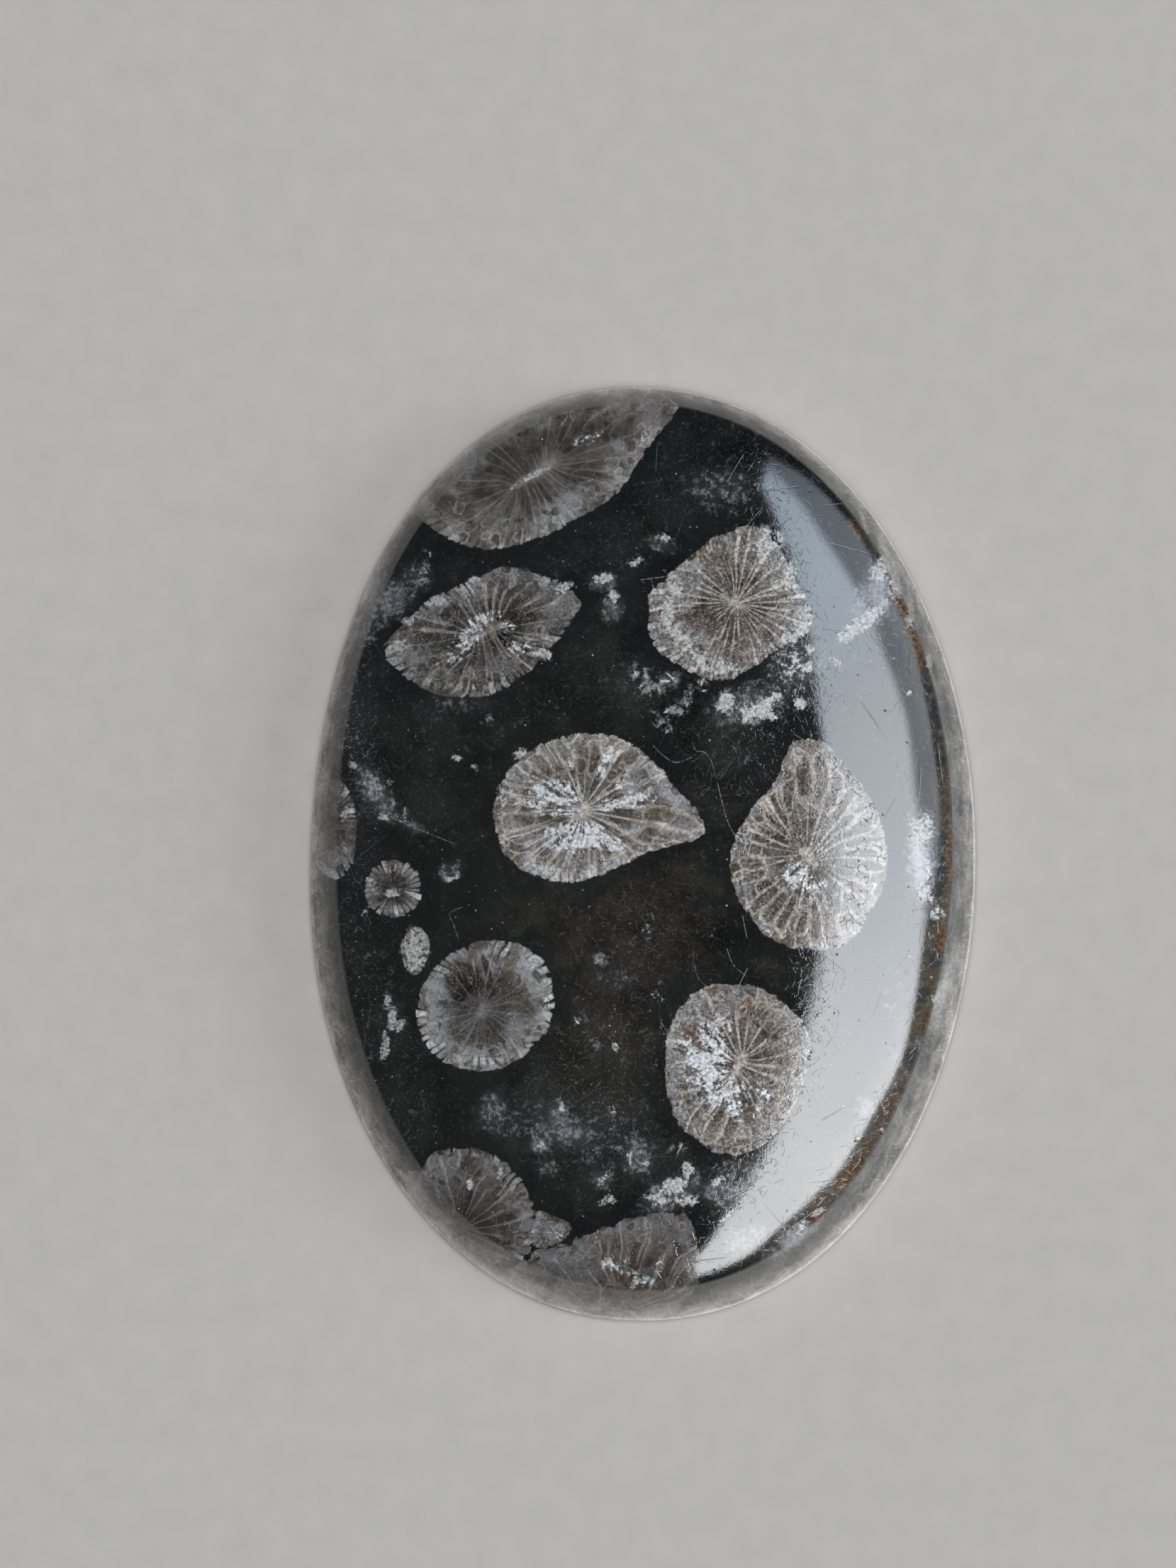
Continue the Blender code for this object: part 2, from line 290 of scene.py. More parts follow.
# Each mark is its x and y, half its length and half its width, its turn from +X in degrees, and
# its strength
MARKS = {
    Mark.POWDER: (
        (-3.39, 2.48, 1.07, 0.27, 0, 1), (-3.49, 2, 1.23, 0.27, 2, 1), (-3.12, 1.57, 0.8, 0.21, 5, 0.8),
        (-2.24, 0.67, 1.17, 0.53, 5, 1.1), (-3.12, 0.93, 0.69, 0.27, 10, 0.7),
        (-1.2, 0.4, 0.59, 0.32, 0, 0.8), (-1.04, 2, 0.69, 0.32, 10, 1), (-0.05, 2.08, 0.69, 0.24, 20, 0.8),
        (-2.69, 3.57, 0.13, 0.45, 0, 0.9), (-1.36, 3.65, 0.19, 0.37, -15, 1),
        (-1.57, 3.07, 0.21, 0.24, 0, 0.9), (-0.93, 2.59, 0.16, 0.27, -20, 0.8),
        (-6.85, 7.75, 0.91, 0.4, 50, 0.6), (-6.3, 8.4, 0.75, 0.4, 45, 0.55),
        (-5.87, 8.88, 0.69, 0.22, 15, 0.6), (-4.53, 7.76, 0.53, 0.37, -10, 0.55),
        (-5.09, 8.51, 0.32, 0.21, 0, 0.5), (2.6, -6.9, 0.75, 0.8, 0, 0.8), (2.4, -8.1, 0.85, 0.95, 0, 0.85),
        (2.9, -8.9, 0.85, 0.65, -30, 0.75), (3.5, -9.4, 0.8, 0.55, -20, 0.55),
        (1.81, -7.33, 0.6, 0.9, 0, 0.5), (4.2, -8.9, 0.8, 0.6, 0, 0.45), (5.73, -0.8, 0.9, 0.5, -25, 0.55),
        (6.3, -1.2, 0.7, 0.5, -30, 0.5), (-1.31, -15.2, 0.27, 0.43, 0, 0.5),
        (-0.67, -15.44, 0.53, 0.32, 0, 0.55), (-0.05, -15.92, 0.64, 0.32, 10, 0.5),
        (0.56, -15.49, 0.29, 0.27, 0, 0.8), (-2.4, 15.41, 0.43, 0.16, 35, 0.6),
        (-1.76, 15.63, 0.37, 0.13, 40, 0.5), (0.56, 6.4, 0.8, 0.4, 20, 0.7), (1.75, 6, 0.69, 0.32, 40, 0.7),
        (-0.1, 6.85, 0.5, 0.3, 0, 0.6), (0.7, 4.95, 0.6, 0.35, -60, 0.6), (1.2, 5.35, 0.5, 0.3, 30, 0.6),
        (-8.19, 10.8, 0.27, 0.69, -10, 0.55), (-10.05, 2.59, 0.64, 0.48, -30, 0.45),
        (-9.25, 1.68, 0.69, 0.32, -40, 0.35), (-7.2, -0.64, 0.24, 0.16, 0, 0.4),
        (-6.51, -12.35, 0.13, 0.16, 0, 1), (-3.12, -14.24, 0.16, 0.13, 0, 1),
        (0.19, -2.27, 0.37, 0.21, 80, 0.3), (0.19, -3, 0.35, 0.55, 0, 0.4),
        (-1.55, -3.87, 0.35, 0.24, 0, 0.45), (0.8, -6.3, 0.27, 0.4, 0, 0.45),
        (-2.3, -6.1, 0.4, 0.3, 20, 0.45), (0.55, -5, 0.3, 0.45, 0, 0.4), (-1.9, -7.1, 0.3, 0.45, 0, 0.4),
        (-4.6, 4.95, 0.4, 0.2, 20, 0.4), (-5.9, 5.05, 0.35, 0.25, -20, 0.5),
        (-2.9, 5.2, 0.45, 0.1, -40, 0.5), (1.3, -11, 0.5, 0.3, 10, 0.4), (-1.1, -9.6, 0.3, 0.4, 0, 0.35)),
    Mark.MILK: (
        (-2.85, 13.07, 1.17, 0.48, 30, 0.8), (-6.4, 14.48, 0.8, 0.37, 35, 0.6),
        (-7.33, 13.73, 0.37, 0.59, 20, 0.5), (-4.32, 16.13, 1.6, 0.53, 35, 0.35),
        (-6.85, 9.6, 1.49, 0.37, 28, 0.9), (-4.32, 10.48, 1.17, 0.32, -8, 0.8),
        (-3.12, 9.2, 0.43, 0.91, 10, 0.5), (-8.85, 7.07, 0.69, 0.48, -30, 0.5),
        (1.41, 9.79, 0.75, 0.59, 20, 1), (2.08, 8, 1.07, 0.37, -40, 0.9), (4.48, 6.93, 1.07, 0.27, 25, 0.4),
        (-4.77, 3.07, 0.59, 0.69, 0, 0.9), (-3.92, 4.13, 0.8, 0.27, 20, 0.5),
        (0.96, 2.48, 0.53, 1.17, 40, 1), (1.36, 0.83, 0.91, 0.35, 8, 1.1),
        (-3.65, 0.19, 0.96, 0.69, -20, 0.8), (-1.25, -0.53, 1.07, 0.32, 10, 0.5),
        (3.81, -0.13, 0.48, 1.33, 0, 0.9), (4.48, -2.27, 0.8, 0.69, -45, 0.8),
        (4.08, 2.27, 0.48, 0.8, 30, 0.7), (1.89, -5.68, 0.8, 0.53, 45, 1), (1.2, -7.73, 0.32, 1.49, 0, 0.9),
        (1.41, -9.73, 0.43, 0.8, -30, 0.5), (4.88, -5.73, 1.07, 0.37, -30, 0.5),
        (-7.71, -6.27, 0.53, 0.96, 0, 1), (-6.72, -7.39, 1.17, 0.43, -20, 0.8),
        (-4.59, -6.53, 0.69, 0.69, 0, 0.6), (-4.32, -4.13, 0.64, 0.53, -30, 0.7),
        (-7.65, -12, 0.53, 0.8, 40, 0.8), (-5.79, -11.47, 1.07, 0.27, -10, 0.7),
        (-4.4, -13.6, 0.32, 1.07, 10, 0.7), (-2.85, -14.93, 1.17, 0.43, 20, 0.9),
        (-0.99, -13.95, 1.33, 0.32, 12, 0.7), (1.47, -14.4, 0.43, 1.07, 0, 0.8),
        (-3.52, -14.05, 0.8, 0.43, 0, 0.7)),
    Mark.CLOUD: (
        (5.75, -14.3, 1, 0.55, 35, 1.6), (11.45, -5.4, 0.55, 1.55, -12, 1.3),
        (8.45, -9.55, 0.45, 0.5, 30, 1.1), (3.8, -14.4, 0.9, 0.5, 20, 1), (-1.17, 9.17, 0.4, 0.53, 0, 0.8),
        (-1.52, 10.19, 0.53, 0.32, 0, 0.8), (-5.65, -9.52, 0.59, 0.69, 0, 0.6),
        (-3.23, -9.79, 0.35, 0.69, -15, 0.7), (-2.85, -10.37, 1.07, 0.53, -10, 0.65),
        (-3.84, -10.83, 0.4, 0.29, 0, 1), (-3.6, -11.68, 0.48, 0.32, 0, 0.5),
        (-0.19, -11.28, 0.59, 0.75, 0, 0.7), (-1.57, -12.08, 0.48, 0.37, 0, 0.6),
        (-1.39, -10.53, 1.87, 1.33, 0, 0.28), (-4.45, -10, 1.6, 0.96, 0, 0.25),
        (1.09, -12.67, 1.17, 0.59, 25, 0.9), (2.85, -12.59, 0.64, 0.51, 0, 1),
        (3.39, -11.73, 0.75, 0.64, 0, 0.45), (3.95, 5.6, 1.33, 0.72, 10, 0.8),
        (-9.55, 9.49, 0.96, 0.64, 40, 0.9), (-10.59, 8.4, 0.59, 0.96, -20, 0.7),
        (-8.59, 10.4, 0.69, 0.59, 0, 0.5), (-10, 2.4, 0.45, 1.01, 35, 0.9),
        (-9.47, 1.52, 0.53, 0.27, -20, 0.6), (-8.51, 0.99, 0.48, 0.19, -20, 0.6),
        (-7.17, -0.56, 0.53, 0.32, 25, 0.5), (-0.19, 6.53, 1.33, 0.8, 0, 0.2),
        (0.61, 11.6, 0.64, 0.32, -20, 0.5), (8.83, 10.21, 0.64, 1.33, -30, 1.2),
        (9.28, 9.6, 0.69, 0.8, -30, 0.7), (8.6, 9.05, 0.8, 0.4, 40, 1.3), (10.4, 0, 0.53, 1.65, 0, 1.5),
        (10.69, -1.07, 0.37, 0.91, 0, 0.8), (9.28, -5.2, 0.53, 1.6, 0, 0.25),
        (3.01, 13.73, 1.6, 0.96, 0, 0.4), (5.68, 7.07, 0.91, 1.17, -60, 0.6),
        (-7.12, 5.87, 1.6, 0.8, 20, 0.25), (-0.99, -4.67, 0.8, 0.64, 0, 0.25)),
    Mark.CRYSTAL: (
        (-4.13, 14.16, 0.85, 0.11, 29, 1.1), (9.3, 9.9, 0.4, 0.9, -35, 0.25), (8.2, 8.7, 1, 0.26, 40, 0.7),
        (-1.57, 10.27, 0.35, 0.21, 10, 1.1), (-1.09, 9.57, 0.21, 0.37, 0, 0.7),
        (0.8, 11.87, 0.24, 0.16, -20, 0.9), (-0.32, 10.93, 0.32, 0.19, 20, 0.6),
        (3.12, 5.63, 0.4, 0.37, 0, 1.1), (3.81, 5.31, 0.32, 0.37, 0, 0.7),
        (4.29, 5.41, 0.48, 0.27, 25, 1.1), (4.72, 5.15, 0.27, 0.21, 0, 0.9),
        (4.83, 5.84, 0.48, 0.19, 20, 0.8), (1.63, -11.76, 0.21, 0.32, 30, 1),
        (1.15, -12.35, 0.53, 0.32, 20, 1.1), (0.48, -12.83, 0.48, 0.27, 0, 0.9),
        (1.57, -12.93, 0.48, 0.21, 0, 0.7), (0.08, -11.49, 0.21, 0.13, 0, 0.8),
        (-0.51, -11.33, 0.16, 0.24, 0, 0.8), (-1.52, -12.08, 0.37, 0.13, 50, 0.6),
        (-1.31, -12.93, 0.37, 0.21, 20, 0.8), (-3.04, -9.41, 0.13, 0.21, 0, 0.9),
        (-3.84, -10.85, 0.16, 0.13, 0, 1), (2.75, -12.19, 0.37, 0.16, 20, 0.7),
        (3.12, -13.47, 0.43, 0.13, 50, 0.8), (-9.57, -5.47, 0.16, 0.32, 0, 1),
        (-9.41, -6.16, 0.16, 0.43, -10, 1.1), (-9.07, -6.37, 0.27, 0.13, 60, 0.9),
        (-9.65, -6.85, 0.13, 0.32, 10, 1), (-9.68, -7.39, 0.19, 0.32, 0, 0.9),
        (-8.51, -3.6, 0.48, 0.8, 0, 0.8), (-8.72, 8.72, 0.27, 0.21, 0, 0.9),
        (-7.65, 9.49, 0.35, 0.19, 20, 0.8), (-3.76, 7.49, 0.35, 0.21, -20, 0.9),
        (-6.27, 10.27, 0.29, 0.13, 10, 0.7), (-3.04, 9.89, 0.45, 0.19, 30, 0.7),
        (-9.04, 7.92, 0.37, 0.32, 0, 0.6), (1.15, 9.95, 0.24, 0.59, 30, 0.9),
        (0.91, 8.99, 0.21, 0.59, 0, 1.1), (1.31, 8.19, 0.48, 0.21, -40, 1.1),
        (2.05, 7.28, 0.48, 0.24, -50, 1), (2.91, 6.96, 0.64, 0.21, 5, 0.9),
        (5.81, 8.27, 0.48, 0.21, 40, 0.9), (5.15, 8, 0.64, 0.19, 35, 0.7), (6.19, 7.68, 0.19, 0.19, 0, 1),
        (6.11, 6.93, 0.19, 0.19, 0, 0.9), (5.81, 5.68, 0.21, 0.24, 30, 1),
        (5.47, 7.07, 0.53, 0.8, -60, 0.5), (4.61, 11.6, 0.64, 0.8, -40, 0.6),
        (5.25, 10.37, 0.43, 0.8, -50, 0.5), (-3.52, -0.56, 0.59, 0.21, -15, 1),
        (-5.31, 2, 0.21, 0.59, 0, 0.7), (-4.59, 3.81, 0.53, 0.21, 35, 0.6),
        (0.03, 15.63, 0.24, 0.16, 40, 0.8), (-5.36, -11.95, 0.11, 0.32, -20, 0.8),
        (-6.51, -12.37, 0.13, 0.13, 0, 1), (8.59, 12.24, 0.32, 0.27, -40, 0.8),
        (9.04, 10.8, 0.37, 0.69, -35, 0.9), (9.57, 10.03, 0.32, 0.59, -30, 1),
        (10.19, 8.93, 0.32, 0.69, -25, 0.8), (10.85, 7.12, 0.24, 0.32, 0, 0.9),
        (8.61, 8.99, 0.91, 0.21, 40, 0.8), (7.71, 8.35, 0.59, 0.24, 42, 0.9),
        (7.17, 7.2, 0.21, 0.37, 30, 0.5), (9.97, 6.05, 0.16, 0.13, 0, 1), (10.4, 0.93, 0.48, 0.59, 0, 0.8),
        (10.64, -0.56, 0.21, 0.43, 0, 0.9), (10.51, -1.47, 0.32, 0.37, 0, 1),
        (11.01, -2.27, 0.32, 0.27, 0, 0.7), (11.6, -5.47, 0.32, 1.33, -6, 0.6),
        (11.07, -5.33, 0.27, 0.32, 0, 1), (8.96, -10.37, 0.16, 0.13, 0, 1),
        (7.97, -10.64, 0.24, 0.13, 0, 0.8), (6.61, -13.36, 0.32, 0.13, 30, 0.9),
        (5.89, -14, 0.69, 0.27, 40, 0.5), (-10.85, 3.36, 0.16, 0.19, 0, 1),
        (-9.55, 2.69, 0.24, 0.27, 40, 0.4), (-9.71, 1.41, 0.27, 0.11, -10, 0.5),
        (-8.96, 1.44, 0.21, 0.16, 0, 0.5), (-7.31, -0.91, 0.16, 0.11, 0, 1),
        (-6.91, -0.77, 0.21, 0.11, 30, 0.7), (-9.39, -1.44, 0.27, 0.19, 0, 0.9),
        (-10.4, -2.13, 0.24, 0.05, 50, 0.9), (-5.17, 0.4, 0.16, 0.16, 0, 0.4),
        (-6.96, 3.63, 0.21, 0.19, 0, 0.6), (-6.27, 3.23, 0.24, 0.13, -20, 0.5),
        (-1.07, -7.15, 0.13, 0.13, 0, 1), (-11.17, 1.52, 0.37, 0.13, 60, 0.7)),
    Mark.BROWN: (
        (-2, 3.76, 0.37, 0.53, 0, 1), (-0.72, 3.41, 0.53, 0.37, 30, 0.9), (0.29, 1.12, 0.37, 0.24, 0, 0.9),
        (-0.32, 0.61, 0.43, 0.24, 0, 0.8), (-0.56, 1.33, 0.48, 0.21, 0, 0.8),
        (-4.32, 2.59, 0.21, 0.21, 0, 0.6), (3.71, 7.68, 0.48, 0.69, 0, 0.9),
        (4.8, 8.45, 0.64, 0.53, 0, 0.9), (6.77, 2.67, 0.35, 0.16, -35, 1.3),
        (6.24, 2.16, 0.37, 0.32, 0, 0.9), (5.55, 1.92, 0.43, 0.32, 0, 0.9),
        (4.61, 1.12, 0.43, 0.24, 20, 0.9), (4.67, 0.48, 0.37, 0.21, 0, 0.7),
        (4.8, -1.15, 0.32, 0.21, 20, 0.8), (6.48, -2.27, 0.37, 0.43, 0, 0.6),
        (2.75, -6.27, 0.8, 0.53, 0, 0.8), (4.21, -6.27, 0.8, 0.69, 0, 0.9),
        (5.01, -7.87, 0.69, 0.96, 0, 0.9), (4.48, -9.73, 0.91, 0.69, 0, 0.8),
        (-4.99, 9.47, 0.91, 0.37, 0, 0.6), (-2.96, 14.56, 0.91, 0.37, 30, 0.7),
        (-1.55, 15.07, 0.69, 0.32, 30, 0.8), (-0.08, -15.17, 0.64, 0.37, 0, 0.9),
        (-1.25, -14.4, 0.91, 0.32, 10, 0.6), (2.08, 8.53, 0.91, 0.37, 10, 0.6)),
    Mark.DARK: (
        (-6.8, -4.56, 0.8, 0.69, -40, 1), (-6.91, -5.2, 0.37, 0.27, -40, 0.9),
        (-5.84, -4.19, 0.11, 0.64, 20, 1), (-5.31, 8, 0.43, 0.32, 0, 0.9),
        (-4.64, 2.93, 0.43, 0.08, -30, 0.9), (7.39, 2.32, 0.11, 0.32, -25, 0.9),
        (-5.52, 11.6, 1.07, 0.16, 0, 0.4), (-5.52, 2.8, 0.27, 0.08, 0, 0.6),
        (1.63, -13.17, 0.64, 0.08, -4, 0.9)),
    Mark.RUST: (
        (11.47, -0.13, 0.19, 1.23, 0, 1.2), (11.17, -3.33, 0.21, 0.69, 0, 1.2),
        (10.69, -6.27, 0.24, 0.48, -15, 1.1), (9.01, -9.47, 0.27, 0.37, -30, 0.7),
        (7.73, -11.87, 0.91, 0.32, 48, 1), (6.48, -13.52, 0.64, 0.24, 45, 0.9),
        (8.4, -10.85, 0.37, 0.27, 50, 0.7), (7.95, 12.08, 0.59, 0.13, -58, 1.1),
        (9.63, 9.41, 0.69, 0.16, -58, 0.9), (10.11, 8, 0.8, 0.22, -68, 1.4), (9.5, 9.6, 0.6, 0.16, -58, 1),
        (10.37, 7.2, 0.32, 0.16, -70, 0.9)),
    Mark.GLOOM: (
        (-6.37, -1.2, 1.6, 1.87, 0, 1), (-7.12, 11.6, 3.47, 0.69, 32, 0.9), (-6.37, 2.27, 0.8, 2.4, 0, 0.7),
        (-7.12, -9.47, 1.07, 1.07, 0, 0.8), (-4.59, -12.93, 0.69, 1.6, -35, 1),
        (-8.19, 6.53, 1.6, 1.07, 30, 0.6), (-10.05, 0.13, 0.8, 1.6, 0, 0.6),
        (-3.39, 8.13, 1.07, 1.33, 0, 0.5), (2.48, 15.07, 1.6, 1.33, 0, 0.3),
        (-2.85, -14.13, 1.6, 0.53, 10, 0.8)),
    # The first mist mark, a long strip on the -X flank of the dome, is a painted reflection; the rest are
    # paler, flecked stone.
    Mark.MIST: (
        (-10.9, 2.5, 0.9, 6, 4, 3), (-8.7, -6, 0.6, 3, 12, 0.8), (-1.52, -7.87, 2.93, 2.93, 0, 0.8),
        (-10.05, -6.27, 1.07, 2.93, -20, 0.7), (-8.45, -10, 1.33, 1.6, -30, 0.7),
        (-0.19, -3.33, 2.13, 2.13, 0, 0.4), (3.01, 2.8, 1.6, 1.6, 0, 0.4)),
    Mark.ROUGH: (
        (6.5, -4.9, 1.9, 0.8, -82, 1), (4.83, 10.8, 2.4, 1.23, -58, 1), (5.95, 6.93, 1.6, 1.33, -70, 1),
        (6.48, 0.67, 2.4, 1.23, -75, 1), (8.48, 0.67, 1.6, 0.8, -85, 0.5), (5.15, -8.93, 3.2, 1.17, 68, 1),
        (3.68, -12.13, 1.6, 0.96, 50, 1), (4.61, 14, 2.4, 0.69, -55, 0.4), (4.08, 4.4, 1.87, 1.6, -45, 0.7),
        (8.77, 8.4, 1.6, 0.64, 30, 0.5), (11.01, -0.93, 0.53, 3.73, 0, 0.6),
        (9.68, -9.47, 0.53, 2.93, -25, 0.6), (7.28, -12.4, 1.6, 0.43, 48, 0.6)),
}

# Fine curved lines, scratches and fibres ground into the polish, each the points it runs through
FIBRES = (
    ((0.35, 4.08), (0.69, 3.73), (1.2, 3.44), (1.79, 3.63)),
    ((1.81, 4.19), (1.95, 3.89), (2.27, 3.81), (2.53, 3.47), (2.69, 2.85)),
    ((2.27, 3.81), (2.03, 3.62), (1.81, 3.47)),
    ((2.75, 2.67), (3.07, 1.41), (3.33, 0.85), (3.57, 0.53)),
    ((3.68, -2.24), (3.84, -3.07)),
    ((-0.1, 10.25), (1.4, 10.45)),
    ((0.3, 10.25), (0.45, 9.6)),
    ((1.9, -4.1), (2.05, -4.6), (2.4, -4.95)),
    ((3.1, -3.5), (3.35, -4.1), (3.8, -4.5)),
    ((-9.63, 1.49), (-8.4, 0.95), (-7.09, 0.43)),
    ((-6.77, -1.95), (-7.23, -2.19), (-7.09, -2.59), (-6.91, -3.09)),
)


def smooth_curve(points: np.ndarray, steps: int, closed: bool) -> np.ndarray:
    """A smooth curve through some points, as a Catmull-Rom spline.

    Between the second and third of four points p, q, r, s, at the share t of the way, it is
    (2q + (r - p) t + (2p - 5q + 4r - s) t^2 + (3q - p - 3r + s) t^3) / 2. At the ends of an open
    curve, its first and last points stand in for the missing neighbours.

    Args:
        points: rows of x and y.
        steps: number of points on the curve for each one given.
        closed: whether the curve goes on from its last point to its first.

    Returns:
        Rows of x and y.
    """
    if closed:
        p, q, r, s = (np.roll(points, shift, axis=0) for shift in (1, 0, -1, -2))
    else:
        padded = np.vstack((points[:1], points, points[-1:]))
        p, q, r, s = padded[:-3], padded[1:-2], padded[2:-1], padded[3:]
    t = np.linspace(0.0, 1.0, steps, endpoint=False)[:, None, None]
    curve = 2 * q + (r - p) * t + (2 * p - 5 * q + 4 * r - s) * t**2 + (3 * q - p - 3 * r + s) * t**3
    curve = (curve / 2).transpose(1, 0, 2).reshape(-1, 2)
    return curve if closed else np.vstack((curve, points[-1:]))


def read_table(table: Table, place: np.ndarray) -> np.ndarray:
    """Values at some places from rows of a place and its value, straight between the rows."""
    return np.interp(place, *np.array(table).T)


def add_object(name: str, data: bpy.types.ID) -> bpy.types.Object:
    """Put a mesh, a light or a camera into the scene as an object at the origin.

    Args:
        name: the object's name.
        data: the mesh, light or camera.

    Returns:
        The object.
    """
    item = bpy.data.objects.new(name, data)
    bpy.context.scene.collection.objects.link(item)
    return item


@dataclass
class StoneSurface:
    """The stone's whole surface, as rings of points from the top of the dome to the base's middle.

    Attributes:
        width: size across the stone.
        length: size along it.
        height: size up.
        turns: number of points in a ring.
        wall_height: from the base to the girdle line, where the dome starts.
        wall_lean: how far the wall leans in over its height, along the sides.
        lean_extra: how much more it leans in at the -Y end, and less at the +Y end.
        wall_curve: 1 is straight, and more makes it bulge a little near the base.
        shoulder: degrees of the dome's ellipse that lie below the girdle line and are left out.
        bevel: height and width of the bevel round the base.
        waviness: depth of the faint hollows that polishing by hand leaves in the dome.
        drift: how far the coral's tubes lean across and along the stone from the girdle line down.
        girdle: points of the girdle line, rows of x and y.
        points: rings, turns and x, y, z.
        zones: number of each ring's zone.
    """

    width: float
    length: float
    height: float
    turns: int = 480
    wall_height: float = 2.6
    wall_lean: float = 0.95
    lean_extra: float = 0.3
    wall_curve: float = 1.25
    shoulder: float = 34.8
    bevel: float = 0.35
    waviness: float = 0.007
    drift: Pair = (1.3, -0.9)
    girdle: np.ndarray = field(init=False)
    points: np.ndarray = field(init=False)
    zones: np.ndarray = field(init=False)

    def __post_init__(self) -> None:
        """Work out the rings."""
        outline = Oval(self.width, self.length).points(
            np.linspace(0.0, 2 * math.pi, self.turns, endpoint=False))
        radius = np.linalg.norm(outline, axis=1, keepdims=True)
        turn = np.arctan2(outline[:, 1], outline[:, 0])
        lean = (self.wall_lean - self.lean_extra * np.sin(turn))[:, None]
        self.girdle = outline * (1 - lean / radius)
        self.points = np.concatenate((self.dome_rings(), self.wall_rings(outline, lean / radius),
                                      self.bevel_rings(outline, radius), self.base_rings(outline, radius)))
        self.zones = np.repeat(np.arange(len(Zone)), [zone.value for zone in Zone])

    def dome_rings(self) -> np.ndarray:
        """Rings of the dome, down to the girdle line.

        An angle falls from a right angle at the top to the shoulder. A ring is the girdle line
        times the angle's cosine over the shoulder's, and its height grows with the angle's sine.
        Shallow waves across the dome are taken off its height.

        Returns:
            An array of rings, turns and x, y, z.
        """
        start = math.radians(self.shoulder)
        share = np.arange(1, Zone.DOME.value + 1)[:, None] / Zone.DOME.value
        lift = math.pi / 2 - (math.pi / 2 - start) * share
        flat = self.girdle[None] * (np.cos(lift) / math.cos(start))[..., None]
        rise = (self.height - self.wall_height) / (1 - math.sin(start))
        high = self.wall_height + rise * (np.sin(lift) - math.sin(start))
        x, y = flat[..., 0], flat[..., 1]
        waves = np.sin(x / 1.3 + 0.4) * np.sin(y / 1.7) + np.sin((x + y) / 2.1 + 2.0)
        high = high - self.waviness * np.sin(np.pi * share) * (2 + waves) / 4
        return np.dstack((flat, high))

    def wall_rings(self, outline: np.ndarray, lean: np.ndarray) -> np.ndarray:
        """Rings of the wall, down to the bevel: inset by the lean times a power of the height.

        Args:
            outline: points of the widest outline.
            lean: how far the wall leans in at each, as a share of its radius.

        Returns:
            An array of rings, turns and x, y, z.
        """
        share = 1 - np.arange(1, Zone.WALL.value + 1)[:, None] / Zone.WALL.value
        flat = outline[None] * (1 - lean[None] * share[..., None] ** self.wall_curve)
        high = self.bevel + (self.wall_height - self.bevel) * share * np.ones(self.turns)
        return np.dstack((flat, high))

    def bevel_rings(self, outline: np.ndarray, radius: np.ndarray) -> np.ndarray:
        """Rings of the bevel round the base, which goes in as far as it goes down.

        Args:
            outline: points of the widest outline.
            radius: their distances from the middle.

        Returns:
            An array of rings, turns and x, y, z.
        """
        share = np.arange(1, Zone.BEVEL.value + 1)[:, None] / Zone.BEVEL.value
        flat = outline[None] * (1 - self.bevel * share[..., None] / radius[None])
        return np.dstack((flat, self.bevel * (1 - share) * np.ones(self.turns)))

    def base_rings(self, outline: np.ndarray, radius: np.ndarray) -> np.ndarray:
        """Rings of the flat base, evenly spaced from the bevel towards the middle.

        Args:
            outline: points of the widest outline.
            radius: their distances from the middle.

        Returns:
            An array of rings, turns and x, y, z.
        """
        share = 1 - np.arange(1, Zone.BASE.value + 1)[:, None] / (Zone.BASE.value + 1)
        flat = (outline * (1 - self.bevel / radius))[None] * share[..., None]
        return np.dstack((flat, np.zeros(flat.shape[:2])))

    def vertices(self) -> np.ndarray:
        """Every vertex: the top, the rings one after another, and the middle of the base."""
        top, bottom = (0.0, 0.0, self.height), (0.0, 0.0, 0.0)
        return np.vstack((top, self.points.reshape(-1, 3), bottom))

    def per_vertex(self, of_rings: np.ndarray) -> np.ndarray:
        """Spread one value of each ring over its vertices, the top and the base's middle too."""
        return np.concatenate((of_rings[:1], np.repeat(of_rings, self.turns), of_rings[-1:]))

    def faces(self) -> tuple[np.ndarray, np.ndarray]:
        """Faces that point outwards.

        Returns:
            The triangles at the two middles, the top ones first, and the quads between the rings.
        """
        here = np.arange(self.turns)
        beside = np.roll(here, -1)
        count = len(self.points)
        last = 1 + (count - 1) * self.turns
        end = np.full(self.turns, 1 + count * self.turns)
        top = np.column_stack((np.zeros_like(here), 1 + here, 1 + beside))
        bottom = np.column_stack((end, last + beside, last + here))
        start = 1 + self.turns * np.arange(count - 1)[:, None]
        quads = np.stack((start + here, start + self.turns + here,
                          start + self.turns + beside, start + beside), axis=2)
        return np.vstack((top, bottom)), quads.reshape(-1, 4)


